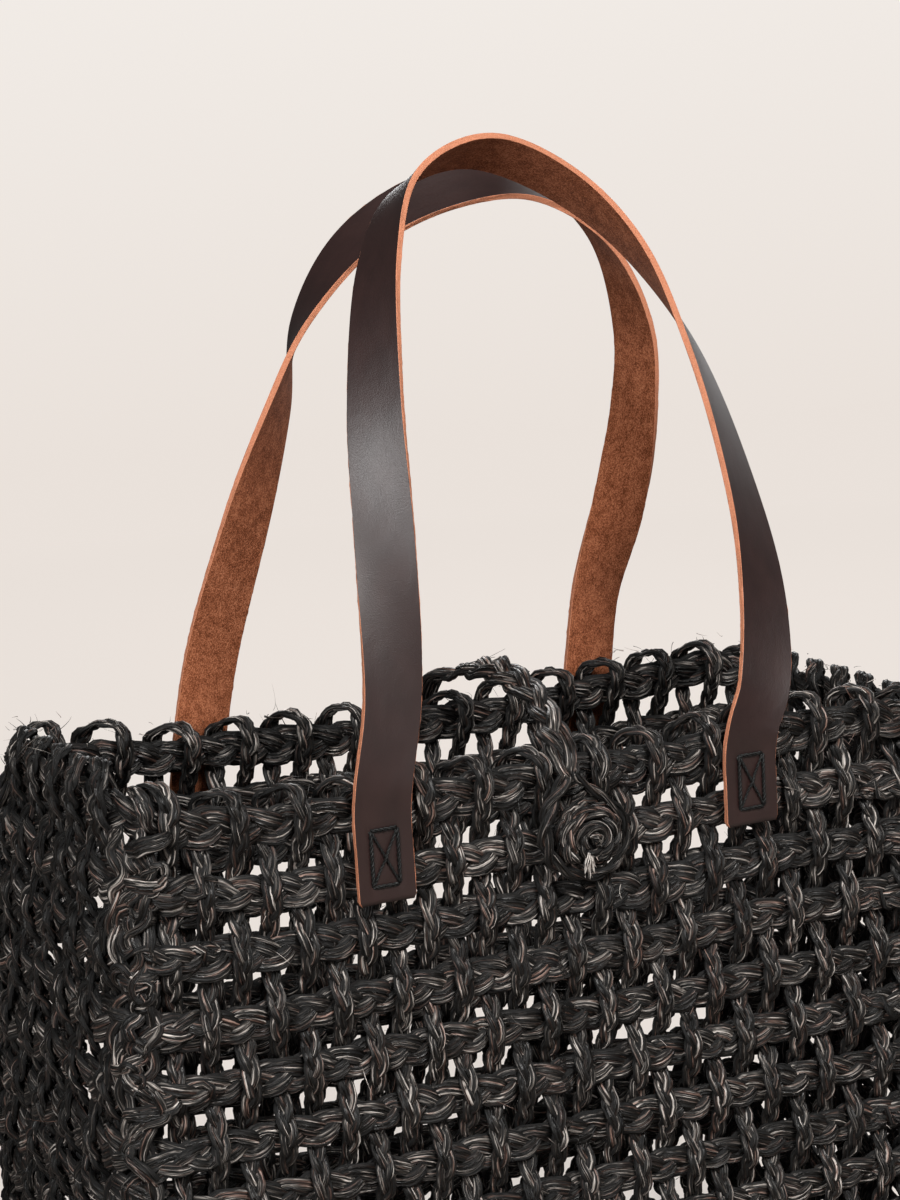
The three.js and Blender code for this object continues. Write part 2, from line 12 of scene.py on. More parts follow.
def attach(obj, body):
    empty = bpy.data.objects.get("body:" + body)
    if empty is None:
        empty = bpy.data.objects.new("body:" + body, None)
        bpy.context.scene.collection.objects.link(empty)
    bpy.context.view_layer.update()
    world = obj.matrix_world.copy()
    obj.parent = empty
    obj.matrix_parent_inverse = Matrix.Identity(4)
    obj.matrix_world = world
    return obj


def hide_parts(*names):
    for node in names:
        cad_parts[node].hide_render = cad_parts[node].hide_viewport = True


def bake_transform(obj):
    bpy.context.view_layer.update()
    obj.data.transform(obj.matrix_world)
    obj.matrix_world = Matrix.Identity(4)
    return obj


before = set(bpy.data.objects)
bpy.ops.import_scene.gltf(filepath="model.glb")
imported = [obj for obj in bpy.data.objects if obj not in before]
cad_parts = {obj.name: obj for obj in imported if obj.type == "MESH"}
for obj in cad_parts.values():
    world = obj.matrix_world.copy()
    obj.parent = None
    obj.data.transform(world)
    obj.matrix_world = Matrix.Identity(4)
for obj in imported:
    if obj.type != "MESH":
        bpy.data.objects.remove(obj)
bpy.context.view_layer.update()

MM = 0.001

# Plan and rows of the weave, as in the model.
COLUMN_PITCH = 13.5
FRONT_PAIRS = 14
END_PAIRS = 5
END_PITCH = 11.05
CORNER_COLUMNS = 3
CORNER_ON_FRONT = 2
WEFT_ROWS = 11
ROW_PITCH = 26
RIM_PITCH = 27.5
LOWEST_ROW = 16
RIM_RISE_X = np.array([-188.0, -162, -120, -45, 40, 100, 155, 188])
RIM_RISE_FRONT = np.array([14, 4, 0, 0, 0, 3.5, 4, -3])
RIM_RISE_BACK = np.array([13.0, 6, -1, -5, -4, 0, 2, -7])
WAVE_ROWS = 5
BASE_SPREAD = 75
BULGE_FRONT = 6
BULGE_BACK = 16
LEFT_SKEW = 16
BULGE_FROM = 110
FRONT_COLUMNS = 2 * FRONT_PAIRS
END_COLUMNS = 2 * END_PAIRS
COLUMNS_AROUND = 2 * (FRONT_COLUMNS + END_COLUMNS)
HALF_AROUND = COLUMNS_AROUND / 2
CORNER_RADIUS = CORNER_COLUMNS * COLUMN_PITCH / (pi / 2)
FRONT_STRAIGHT = FRONT_COLUMNS / 2 - CORNER_ON_FRONT
END_STRAIGHT = END_COLUMNS / 2 - (CORNER_COLUMNS - CORNER_ON_FRONT)
HALF_WIDTH = FRONT_STRAIGHT * COLUMN_PITCH + CORNER_RADIUS
HALF_DEPTH = END_STRAIGHT * END_PITCH + CORNER_RADIUS
RIM_LEVEL = LOWEST_ROW + (WEFT_ROWS - 1) * ROW_PITCH + RIM_PITCH
BACK_LEAN = atan(BASE_SPREAD / RIM_LEVEL)

# Braids. The pitch is the length of one strand's wave, sides are those of a strand's section, and
# bundles are those of the fibres in it. Taper is the length of the thinner ends of an open braid.
NAMES = ("width", "thickness", "pitch", "sides", "bundles", "step", "taper", "strands")
Spec = namedtuple("Spec", NAMES, defaults=(0, 2.2, 0.0, 3))
WEFT = Spec(17.0, 5.0, 42.0, 28, 4)
RIM = Spec(19.0, 6.4, 45.0, 28, 4)
WARP = Spec(9.0, 4.4, 31.0, 20, 2)
END_WARP = WARP._replace(width=11.4)
BAND = Spec(14.6, 5.8, 66.0, 26, 3, taper=3.0)
LEG = Spec(6.2, 4.6, 24.0, 18, 2, taper=2.0, strands=2)
COIL = Spec(6.6, 5.8, 30.0, 22, 3, step=1.4, taper=4.0)
HEART = COIL._replace(taper=3.0, strands=2)
CORNER = Spec(13.0, 5.0, 40.0, 22, 3, taper=6.0)
CORD = Spec(8.0, 6.0, 26.0, 18, 2, taper=8.0, strands=2)
KNOT = Spec(4.6, 4.2, 13.0, 12, step=1.2, strands=2)
WRAP = Spec(12.0, 6.5, 70.0, 26, 4, step=1.4, taper=5.0, strands=1)
SEWING = Spec(1.9, 1.6, 4.4, 8, step=0.45, taper=0.8, strands=2)
CROSSING = SEWING._replace(width=1.4, thickness=1.2, pitch=3.8)
FLATTENED = 1.4

# A strand's shares of a braid's width and thickness. A change is how far something varies, and
# over about how many steps.
STRAND_WIDTH = {1: 0.56, 2: 0.56, 3: 0.46}
STRAND_DEPTH = 0.56
WAVE_CHANGE = (0.30, 14)
SWELL_CHANGE = (0.05, 10)
STRAND_CHANGE = (0.06, 8)
RIDGE_CHANGE = (0.085, 16)
BUNDLE_CHANGE = (0.35, 14)
BUNDLE_DEPTH = 0.20
# The most painted shade in the grooves between a strand's bundles.
DEEPEST_SHADE = 0.97

# How the weave runs over and under.
END_SWELL = 0.30
WEFT_WEAVE = 0.9  # how far a weft gives way to each warp
WARP_OFFSET = 4.9
WARP_OFFSET_RIM = 6.0
UNDER_BASE = ((26, 0), (12, 0), (3.5, 0.9))  # of a leg's stations: in from the wall, and up
FRONT_BASE = 1.6
END_BASE = 5.0
LOOP_RISE = 15.2  # of a warp's middle over the rim's middle
LOOP_SHOULDER = 5.4
SHOULDER_RISE = 9.0
LOOP_SIZES = [0.97, 0.88, 0.82, 0.88, 0.97]
LOOP_SHIFT = {-1: -2.0, 1: 3.0}  # of the rim loops beside the closing loop, to make room for it

# Leather straps, as in the model. A route follows a strap's middle from left to right: x, y, z and
# the way its outside faces. Where y is None, z is over the fold line and the strap is on the wall.
# Tabs reach from the fold line down to the left and to the right end.
STRAP_WIDTH = 25
STRAP_THICKNESS = 2.8
STRAP_MIDDLE = 80.22
FRONT_ROUTE = [
    (-82, None, 0, (0, -1, 0)), (-80.5, None, 12, (0, -1, 0)),
    (-72, -74, 348, (0, -1, 0.1)), (-66, -62, 408, (-0.4, -0.9, 0.2)),
    (-60, -46, 468, (-0.7, -0.6, 0.3)), (-45, -23, 523, (-0.8, -0.2, 0.5)),
    (-23, -4, 553, (-0.65, 0.2, 0.7)), (18, 12, 565, (-0.1, 0.5, 0.85)),
    (58, 17, 550, (0.5, 0.45, 0.75)), (90, 11, 520, (0.8, 0.05, 0.55)),
    (112, -3, 473, (0.75, -0.5, 0.4)), (120, -32, 404, (0.5, -0.8, 0.35)),
    (114, -55, 364, (0.2, -0.95, 0.3)), (102, -74, 331, (0, -1, 0.2)),
    (92.5, None, 12, (0, -1, 0)), (90, None, 0, (0, -1, 0)),
]
BACK_ROUTE = [
    (-108, None, 0, (0, 1, 0)), (-106, None, 30, (0, 1, 0)),
    (-97, 79, 348, (0, 1, 0.1)), (-77, 72, 411, (-0.3, 0.95, 0.15)),
    (-61, 70, 455, (-0.7, 0.7, 0.25)), (-46, 71, 495, (-0.85, 0.05, 0.45)),
    (-18, 68, 529, (-0.6, -0.45, 0.7)), (24, 63, 548, (-0.2, -0.65, 0.75)),
    (63, 58, 547, (0.25, -0.45, 0.85)), (98, 56, 521, (0.8, -0.15, 0.6)),
    (115, 58, 478, (0.95, 0.3, 0.15)), (115, 61, 440, (0.85, 0.5, 0)),
    (108, 67, 394, (0.5, 0.85, 0)), (99, 78, 350, (0, 1, 0.1)),
    (93, None, 30, (0, 1, 0)), (91, None, 0, (0, 1, 0)),
]

STRAPS = [
    dict(name="front", side=-1, lean=0.0, fold_height=304, tabs=(37.2, 32.0), route=FRONT_ROUTE),
    dict(name="back", side=1, lean=BACK_LEAN, fold_height=279, tabs=(34.0, 34.0), route=BACK_ROUTE),
]

UP = np.array([0.0, 0.0, 1.0])
TO_RIGHT = np.array([1.0, 0.0, 0.0])
TO_FRONT = np.array([0.0, -1.0, 0.0])

rng = np.random.default_rng(11)


def unit(v):
    return v / norm(v, axis=-1, keepdims=True)


def smoothly(value, start, end):
    part = np.clip((value - start) / (end - start), 0, 1)
    return part * part * (3 - 2 * part)


def smooth_noise(count, spacing, closed=False):
    """count random values that change over about spacing steps, of about unit size."""
    knots = max(4, int(round(count / spacing)))
    values = rng.normal(size=knots)
    values = np.append(values, values[0] if closed else rng.normal())
    place = np.linspace(0, knots, count, endpoint=not closed)
    low = np.minimum(place.astype(int), knots - 1)
    part = smoothly(place - low, 0, 1)
    return values[low] * (1 - part) + values[low + 1] * part


def circle(count):
    return np.linspace(0, tau, count, endpoint=False)


def varied(change, count, closed=False):
    amount, spacing = change
    return amount * smooth_noise(count, spacing, closed)


# Plan of the walls.
def plan_point(columns):
    """Points of the plan outline at numbers of columns from the middle of the front."""
    place = np.mod(columns, COLUMNS_AROUND)
    to_right = np.where(place <= HALF_AROUND, 1.0, -1.0)
    along = np.where(place <= HALF_AROUND, place, COLUMNS_AROUND - place)
    to_back = np.where(along > HALF_AROUND / 2, 1.0, -1.0)
    from_middle = np.where(to_back > 0, HALF_AROUND - along, along)
    beyond = from_middle - FRONT_STRAIGHT
    turn = np.clip(beyond / CORNER_COLUMNS, 0, 1) * (pi / 2)
    x = np.where(
        beyond <= 0,
        from_middle * COLUMN_PITCH,
        HALF_WIDTH - CORNER_RADIUS + CORNER_RADIUS * np.sin(turn),
    )
    y = np.where(
        beyond > CORNER_COLUMNS,
        (FRONT_COLUMNS / 2 + END_COLUMNS / 2 - from_middle) * END_PITCH,
        HALF_DEPTH - CORNER_RADIUS + CORNER_RADIUS * np.cos(turn),
    )
    return np.stack([to_right * x, to_back * y, np.zeros_like(x)], axis=-1)


def back_share(point):
    return 0.5 + point[..., 1] / (2 * HALF_DEPTH)


def rim_rise(point):
    """How far the rim rises at places in the plan."""
    x = np.clip(point[..., 0], RIM_RISE_X[0], RIM_RISE_X[-1])
    part = np.minimum(np.searchsorted(RIM_RISE_X, x, side="right") - 1, len(RIM_RISE_X) - 2)
    share = smoothly(x, RIM_RISE_X[part], RIM_RISE_X[part + 1])
    levels = (RIM_RISE_FRONT, RIM_RISE_BACK)
    front, back = [v[part] + (v[part + 1] - v[part]) * share for v in levels]
    return front + (back - front) * back_share(point)


def row_height(row, point):
    level = RIM_LEVEL if row == 0 else LOWEST_ROW + (WEFT_ROWS - row) * ROW_PITCH
    return level + rim_rise(point) * max(0.0, 1 - row / WAVE_ROWS)


def slump(place, height):
    """How far a place on the upright walls moves in the slumped bag, at a height."""
    drop = 1 - height / RIM_LEVEL
    share = back_share(place)
    bulge = BULGE_FRONT + (BULGE_BACK - BULGE_FRONT) * share
    at_end = smoothly(np.abs(place[..., 0]), BULGE_FROM, HALF_WIDTH)
    skew = np.where(place[..., 0] < 0, LEFT_SKEW * share * (1 - drop), 0.0)
    sideways = np.sign(place[..., 0]) * at_end * (bulge * 4 * drop * (1 - drop) + skew)
    backwards = BASE_SPREAD * drop * share
    return np.stack([sideways, backwards, np.zeros_like(sideways)], axis=-1)


def column_at(columns):
    left, right = plan_point(np.array([columns - 0.5, columns + 0.5]))
    along = unit(right - left)
    return dict(
        columns=columns,
        ends=np.stack([left, right]),
        middle=(left + right) / 2,
        along=along,
        out=np.cross(along, UP),
    )


def on_wall(column, outwards, height, sideways=0.0):
    """A point at a column of the slumped walls, at a height."""
    point = column["middle"] + outwards * column["out"] + sideways * column["along"]
    point = point + slump(column["ends"], height).mean(axis=0)
    point[2] = height
    return point


def height_at(column, row):
    return row_height(row, column["ends"]).mean()


def across_at(column, height, side):
    """The direction of a column's width at a height, on the side of side."""
    left, right = column["ends"] + slump(column["ends"], height)
    across = unit(right - left)
    return across if np.dot(across, side) > 0 else -across


def phase_of(columns, row):
    index = int(round(columns + FRONT_COLUMNS / 2 - 0.5))
    return -1 if (index + row) % 2 == 0 else 1


# Mesh helpers.
def add_to_scene(name, data):
    obj = bpy.data.objects.new(name, data)
    bpy.context.scene.collection.objects.link(obj)
    return obj


def fill(items, key, values, kind):
    items.foreach_set(key, np.asarray(values, kind).ravel())


def add_mesh(name, points, quads, materials, grain=None, tone_and_shade=None, caps=(), kinds=None):
    """A smooth mesh object. caps are lists of corner numbers, kinds the materials of the quads."""
    mesh = bpy.data.meshes.new(name)
    mesh.vertices.add(len(points))
    fill(mesh.vertices, "co", points * MM, np.float32)
    corners = np.concatenate([quads.ravel(), *caps])
    mesh.loops.add(len(corners))
    fill(mesh.loops, "vertex_index", corners, np.int32)
    sizes = [4] * len(quads) + [len(cap) for cap in caps]
    mesh.polygons.add(len(sizes))
    fill(mesh.polygons, "loop_start", np.cumsum([0] + sizes[:-1]), np.int32)
    fill(mesh.polygons, "use_smooth", np.ones(len(sizes)), bool)
    if kinds is not None:
        fill(mesh.polygons, "material_index", [*kinds, *[0] * len(caps)], np.int32)
    for label, values in (("grain", grain), ("tone_and_shade", tone_and_shade)):
        if values is not None:
            layer = mesh.attributes.new(label, "FLOAT_VECTOR", "POINT")
            fill(layer.data, "vector", values, np.float32)
    mesh.update(calc_edges=True)
    for material in materials:
        mesh.materials.append(material)
    return add_to_scene(name, mesh)


def tube_faces(steps, sides, closed):
    """Quads of a tube of steps rings, joined end to start when closed, with its end caps."""
    i = np.arange(steps if closed else steps - 1)[:, None]
    here, following = i * sides, (i + 1) % steps * sides
    j = np.arange(sides)[None, :]
    k = (j + 1) % sides
    quads = np.stack([here + j, here + k, following + k, following + j], axis=-1).reshape(-1, 4)
    last = (steps - 1) * sides
    caps = [] if closed else [list(range(sides))[::-1], list(range(last, last + sides))]
    return quads, caps


class Shape:
    """Tubes that are gathered into one piece."""

    def __init__(self):
        self.points, self.quads, self.caps, self.grain, self.tone_and_shade = [], [], [], [], []
        self.count = 0

    def add(self, rings, grain, tone_and_shade, closed=False):
        """A tube of rings of points, each point with its grain, and its tone and painted shade."""
        quads, caps = tube_faces(*rings.shape[:2], closed)
        self.points.append(rings.reshape(-1, 3))
        self.quads.append(quads + self.count)
        self.caps += [[c + self.count for c in cap] for cap in caps]
        self.grain.append(grain.reshape(-1, 3))
        self.tone_and_shade.append(np.broadcast_to(tone_and_shade, rings.shape).reshape(-1, 3))
        self.count += len(self.points[-1])

    def finish(self, name, material, *nodes, body="bag", slot="grass"):
        arrays = (self.points, self.quads, self.grain, self.tone_and_shade)
        points, quads, grain, tone_and_shade = [np.concatenate(array) for array in arrays]
        # What lies on the floor is flattened against it.
        low = points[:, 2] < FLATTENED
        points[low, 2] = FLATTENED * np.exp(points[low, 2] / FLATTENED - 1)
        obj = add_mesh(name, points, quads, [material], grain, tone_and_shade, self.caps)
        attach(obj, body)
        if nodes:
            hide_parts(*nodes)


# Paths.
def centripetal(points, per_segment, closed=False):
    """A centripetal Catmull-Rom curve through points, as rows of any width."""
    p = np.asarray(points, float)
    if closed:
        p = np.vstack([p[-1], p, p[0], p[1]])
    else:
        p = np.vstack([2 * p[0] - p[1], p, 2 * p[-1] - p[-2]])
    share = np.arange(per_segment) / per_segment
    rows = []
    for i in range(1, len(p) - 2):
        p0, p1, p2, p3 = p[i - 1 : i + 3]
        ways = (p1 - p0, p2 - p1, p3 - p2)
        t0, t1, t2 = [max(1e-4, norm(way[:3])) ** 0.5 for way in ways]
        start = ((p1 - p0) / t0 - (p2 - p0) / (t0 + t1) + (p2 - p1) / t1) * t1
        end = ((p2 - p1) / t1 - (p3 - p1) / (t1 + t2) + (p3 - p2) / t2) * t1
        c2 = -3 * p1 + 3 * p2 - 2 * start - end
        c3 = 2 * p1 - 2 * p2 + start + end
        s = share[:, None]
        rows.append(p1 + start * s + c2 * s * s + c3 * s**3)
    if not closed:
        rows.append(p[-2][None, :])
    return np.concatenate(rows)


def resample(path, step, closed=False):
    """Rows along a path, about a step apart, with their places along it and its length."""
    rows = np.vstack([path, path[:1]]) if closed else path
    length = np.concatenate([[0], np.cumsum(norm(np.diff(rows[:, :3], axis=0), axis=1))])
    count = max(8, int(round(length[-1] / step)))
    place = np.linspace(0, length[-1], count, endpoint=not closed)
    out = np.stack([np.interp(place, length, rows[:, i]) for i in range(rows.shape[1])], axis=1)
    return out, place, length[-1]


def frames(points, wide, closed):
    """Width and face directions along a path."""
    if closed:
        travel = np.roll(points, -1, axis=0) - np.roll(points, 1, axis=0)
    else:
        travel = np.gradient(points, axis=0)
    travel = unit(travel)
    across = unit(wide - (wide * travel).sum(1, keepdims=True) * travel)
    return across, np.cross(across, travel)


# Braids.
def braid(shape, path, spec, closed=False):
    """Adds a flat braid along path. Its rows are a point, the direction of its width and a size."""
    width, thickness, pitch, sides, bundles, step, taper, strands = spec
    rows, place, length = resample(path, step, closed)
    points, size = rows[:, :3], rows[:, 6]
    across, face = frames(points, rows[:, 3:6], closed)
    count = len(points)
    waves = max(1, round(length / pitch)) if closed else length / pitch
    turn = tau * waves * place / length + rng.uniform(0, 6.28)
    turn = turn + varied(WAVE_CHANGE, count, closed)
    swell = size * (1 + varied(SWELL_CHANGE, count, closed))
    if taper and not closed:
        ends = np.minimum(place, length - place) / taper
        swell = swell * (0.30 + 0.70 * np.clip(ends, 0, 1) ** 0.6)
    strand_width = STRAND_WIDTH[strands] * width
    strand_depth = STRAND_DEPTH * thickness
    reach = 0.5 * (width - strand_width)
    lift = 0.5 * (thickness - strand_depth)
    # The corners of a strand's section lie almost evenly over its width.
    half = np.arccos(np.linspace(1, -1, sides // 2, endpoint=False))
    angle = 0.8 * np.concatenate([half, pi + half]) + 0.2 * circle(sides)
    braid_tint = rng.uniform()
    for k in range(strands):
        theta = turn + tau * k / strands
        side = reach * np.sin(theta) * swell
        if strands == 2:
            depth = lift * np.cos(theta) * swell
            spindle = np.ones(count)
        else:
            depth = lift * np.sin(2 * theta) * swell
            spindle = 0.82 + 0.26 * np.abs(np.sin(2 * theta))
        centre = points + side[:, None] * across + depth[:, None] * face
        own_across, own_face = frames(centre, across, closed)
        fat = swell * (spindle * (1 + varied(STRAND_CHANGE, count, closed)))
        ridge = 1 + np.stack([varied(RIDGE_CHANGE, count, closed) for _ in range(sides)], axis=1)
        a = 0.5 * strand_width * fat[:, None] * np.cos(angle) * ridge
        b = 0.5 * strand_depth * fat[:, None] * np.sin(angle) * ridge
        # Painted shade: the strand's colour is drawn darker towards its edges, and in the grooves
        # between its bundles.
        shade = np.abs(np.cos(angle)) ** 4
        if bundles:
            wander = rng.uniform(0, 2) + varied(BUNDLE_CHANGE, count, closed)[:, None]
            lobe = np.cos(pi * (bundles * np.cos(angle) + wander))
            b = b * (1 + BUNDLE_DEPTH * lobe)
            shade = np.maximum(shade, DEEPEST_SHADE * np.clip((-lobe - 0.05) / 0.8, 0, 1))
        outwards = a[..., None] * own_across[:, None]
        ring = centre[:, None, :] + outwards + b[..., None] * own_face[:, None]
        along = np.broadcast_to((place + 137.0 * rng.uniform())[:, None], a.shape)
        # Three values for each point: a random tone of the strand, one of the braid, and the
        # painted shade.
        tone_and_shade = np.stack(np.broadcast_arrays(rng.uniform(), braid_tint, shade), axis=-1)
        shape.add(ring, np.stack([along, a, b], axis=-1), tone_and_shade, closed)


def weft_path(row):
    """A row's ring round the bag, giving way to each warp that crosses it."""
    count = COLUMNS_AROUND * 8
    columns = np.arange(count) / 8
    places = plan_point(columns)
    along = unit(plan_point(columns + 0.02) - plan_point(columns - 0.02))
    out = np.cross(along, UP)
    nearest = np.floor(columns) + 0.5
    phase = np.array([phase_of(c, row) for c in nearest])
    weave = -WEFT_WEAVE * phase * np.cos(pi * (columns - nearest))
    level = row_height(row, places)
    points = places + slump(places, level)
    points = points + out * (weave + 0.25 * smooth_noise(count, 20, True))[:, None]
    points[:, 2] = level + 0.8 * smooth_noise(count, 30, True)
    wide = slump(places, level + 1) - slump(places, level) + UP
    wide = wide + out * 0.20 * smooth_noise(count, 22, True)[:, None]
    at_end = smoothly(np.abs(places[:, 0]), HALF_WIDTH - CORNER_RADIUS, HALF_WIDTH)
    size = 1 + (END_SWELL if row else 0.0) * at_end
    return np.column_stack([points, wide, size])


def leg_rows(column, side, flat_wide, out_axis, base_middle):
    """Stations of one leg of a warp, from the base up to the rim."""
    rows = []
    for inwards, rise in UNDER_BASE:
        point = on_wall(column, 0, base_middle + rise) - out_axis * inwards
        rows.append(np.array([*point, *flat_wide, 1.0]))

    def climb(outwards, height, sideways=0.0):
        point = on_wall(column, outwards, height, sideways)
        rows.append(np.array([*point, *across_at(column, height, side), 1.0]))

    climb(phase_of(column["columns"], WEFT_ROWS) * 2.6, base_middle + 4.6)
    sway = rng.normal(0, 0.5, WEFT_ROWS + 1)
    for row in range(WEFT_ROWS, -1, -1):
        phase = phase_of(column["columns"], row)
        reach, next_reach = [WARP_OFFSET_RIM if r == 0 else WARP_OFFSET for r in (row, row - 1)]
        here = height_at(column, row)
        climb(phase * reach, here, sway[row])
        if row > 0:
            between = (here + height_at(column, row - 1)) / 2
            climb(phase * (reach - next_reach) / 2, between, (sway[row] + sway[row - 1]) / 2)
    return rows


def arch_rows(left, right, side):
    """Stations of a warp's loop over the rim, from the top of one leg to that of the next."""
    middle = (left["columns"] + right["columns"]) / 2
    crown = plan_point(middle)
    top = row_height(0, crown) + LOOP_RISE + rng.normal(0, 0.8)
    crown = crown + slump(crown, top) + top * UP
    crown = crown + (rng.normal(0, 1.0) + LOOP_SHIFT.get(middle, 0.0)) * left["along"]
    halves = []
    for column in (left, right):
        phase = phase_of(column["columns"], 0)
        shoulder = on_wall(column, phase * LOOP_SHOULDER, height_at(column, 0) + SHOULDER_RISE)
        high = 0.72 * shoulder + 0.28 * crown - phase * 1.5 * column["out"]
        high[2] = crown[2] - 2.0
        out = phase * column["out"]
        halves.append([(shoulder, out + 0.4 * UP), (high, out + 1.6 * UP)])
    stations = np.array(halves[0] + [(crown, UP)] + halves[1][::-1])
    sign = np.sign(np.dot(np.cross(side, UP), left["out"]) * phase_of(left["columns"], 0))
    travel = unit(np.gradient(stations[:, 0], axis=0))
    wide = unit(np.cross(travel, stations[:, 1] * sign))
    return list(np.column_stack([stations[:, 0], wide, LOOP_SIZES]))


def hairpin_path(columns, out_axis, base_middle):
    """One warp's closed path: up, over the rim, down beside itself, and back under the base."""
    flat_wide = np.cross(UP, out_axis)
    rows = []
    for pair, way in ((columns[:2], 1), (columns[2:], -1)):

        def leg(column):
            return leg_rows(column, way * column["along"], flat_wide, way * out_axis, base_middle)

        first, second = [column_at(c) for c in pair]
        rows += leg(first) + arch_rows(first, second, way * first["along"]) + leg(second)[::-1]
    path = centripetal(rows, 8, closed=True)
    path[:, 2] = np.maximum(path[:, 2], 1.5)
    return path


# Shader nodes.
class Graph:
    """The nodes of a new material or world, with short names for the kinds in use."""

    def __init__(self, name, owners=bpy.data.materials):
        self.owner = owners.new(name)
        self.owner.use_nodes = True
        self.tree = self.owner.node_tree
        self.tree.nodes.clear()

    def node(self, kind, inputs, **settings):
        """A node with its settings made and its inputs set, or linked where they are sockets."""
        made = self.tree.nodes.new(f"ShaderNode{kind}")
        for key, value in settings.items():
            setattr(made, key, value)
        for key, value in inputs.items():
            if isinstance(value, bpy.types.NodeSocket):
                self.tree.links.new(value, made.inputs[key])
            else:
                made.inputs[key].default_value = value
        return made

    def attribute(self, name):
        return self.node("Attribute", {}, attribute_name=name).outputs["Vector"]

    def camera_ray(self):
        return self.node("LightPath", {}).outputs["Is Camera Ray"]

    def vector(self, operation, a, b):
        return self.node("VectorMath", {0: a, 1: b}, operation=operation).outputs[0]

    def math(self, operation, a, b):
        return self.node("Math", {0: a, 1: b}, operation=operation).outputs[0]

    def total(self, *terms):
        """The sum of values, and of pairs of a value and its weight."""
        parts = [self.math("MULTIPLY", *t) if isinstance(t, tuple) else t for t in terms]
        total = parts[0]
        for part in parts[1:]:
            total = self.math("ADD", total, part)
        return total

    def noise(self, place, along, across, detail, roughness=0.5):
        """Noise over a piece's grain, with its own scale along the grain and across it."""
        scaled = self.vector("MULTIPLY", place, (along, across, across))
        inputs = {"Vector": scaled, "Scale": 1.0, "Detail": detail, "Roughness": roughness}
        return self.node("TexNoise", inputs).outputs["Fac"]

    def ramp(self, value, *stops):
        made = self.node("ValToRGB", {"Fac": value})
        elements = made.color_ramp.elements
        while len(elements) < len(stops):
            elements.new(0.5)
        for element, (place, colour) in zip(elements, stops):
            element.position = place
            element.color = (*colour, 1.0)
        return made.outputs["Color"]

    def mix(self, factor, a, b):
        inputs = {"Factor": factor, "A": a, "B": b}
        return self.node("Mix", inputs, data_type="RGBA").outputs["Result"]

    def either(self, factor, first, second):
        inputs = {0: factor, 1: first.outputs[0], 2: second.outputs[0]}
        return self.node("MixShader", inputs)

    def bumps(self, *layers):
        """Bumps on top of each other, each with its height, strength and distance."""
        under = {}
        for height, strength, distance in layers:
            inputs = {"Height": height, "Strength": strength, "Distance": distance, **under}
            under = {"Normal": self.node("Bump", inputs).outputs["Normal"]}
        return under["Normal"]

    def finish(self, shader):
        kind = "OutputWorld" if isinstance(self.owner, bpy.types.World) else "OutputMaterial"
        self.node(kind, {"Surface": shader.outputs[0]})
        return self.owner

    def finish_surface(self, colour, roughness, specular, normal, **more):
        inputs = {"Base Color": colour, "Roughness": roughness, "Specular IOR Level": specular}
        return self.finish(self.node("BsdfPrincipled", {**inputs, "Normal": normal, **more}))


# Materials. Their patterns follow each piece's grain: millimetres along it and across it.
# Painted shade: the near-black colour drawn where strands and bundles meet.
PAINTED_GAP_SHADE = (0.0008, 0.0008, 0.0008, 1.0)  # between strands and between the bundles in them
BLACK = (0, 0, 0)
WHITE = (1, 1, 1)


# The shift lightens the grass for painted highlight and for wear at the frayed tuft, and darkens it
# for painted shade.
def grass_material(name, painted_light_and_wear):
    """Black-dyed grass: long glossy fibres with painted grey highlights, and some brown that the
    dyeing left.
    """
    g = Graph(name)
    tone_and_shade = g.attribute("tone_and_shade")
    parts = g.node("SeparateXYZ", {0: tone_and_shade})
    # Each strand takes its pattern from a place of its own.
    seed = g.vector("MULTIPLY", tone_and_shade, (400.0, 90.0, 0.0))
    place = g.vector("ADD", g.attribute("grain"), seed)
    blade = g.noise(place, 0.040, 0.55, 0.0)
    fibre = g.noise(place, 0.085, 1.25, 1.0)
    hair = g.noise(place, 0.12, 2.5, 1.0)
    patch = g.noise(place, 0.030, 0.62, 2.0)
    strand = g.math("SUBTRACT", parts.outputs["X"], 0.5)
    value = g.total((blade, 0.22), (fibre, 0.42), (hair, 0.36), (strand, 0.06), painted_light_and_wear)
    # Both ramps run from the fibres' own dark tones up to pale streaks that are painted highlights.
    dye_and_painted_highlight = g.ramp(
        value,
        (0.40, (0.0009, 0.0008, 0.0007)),
        (0.455, (0.0022, 0.0019, 0.0016)),
        (0.50, (0.0115, 0.0098, 0.0084)),
        (0.54, (0.0620, 0.0540, 0.0475)),
        (0.58, (0.2700, 0.2400, 0.2150)),
        (0.63, (0.7200, 0.6600, 0.6100)),
    )
    brown = g.ramp(
        value,
        (0.40, (0.0032, 0.0022, 0.0018)),
        (0.465, (0.0120, 0.0070, 0.0055)),
        (0.53, (0.0820, 0.0390, 0.0285)),
        (0.61, (0.3000, 0.1560, 0.1130)),
    )
    rust = g.ramp(patch, (0.53, BLACK), (0.62, WHITE))
    colour = g.mix(g.math("MULTIPLY", rust, 0.8), dye_and_painted_highlight, brown)
    # Painted shade: at strand edges and bundle grooves the colour is drawn towards near black.
    crease_shade = g.math("MINIMUM", g.math("MULTIPLY", parts.outputs["Z"], 1.20), 0.97)
    return g.finish_surface(
        colour=g.mix(crease_shade, colour, PAINTED_GAP_SHADE),
        roughness=g.total((fibre, 0.36), 0.13, (crease_shade, 0.50)),
        specular=0.46,
        normal=g.bumps((blade, 0.8, 0.0016), (fibre, 1.0, 0.0015), (hair, 1.0, 0.0008)),
    )


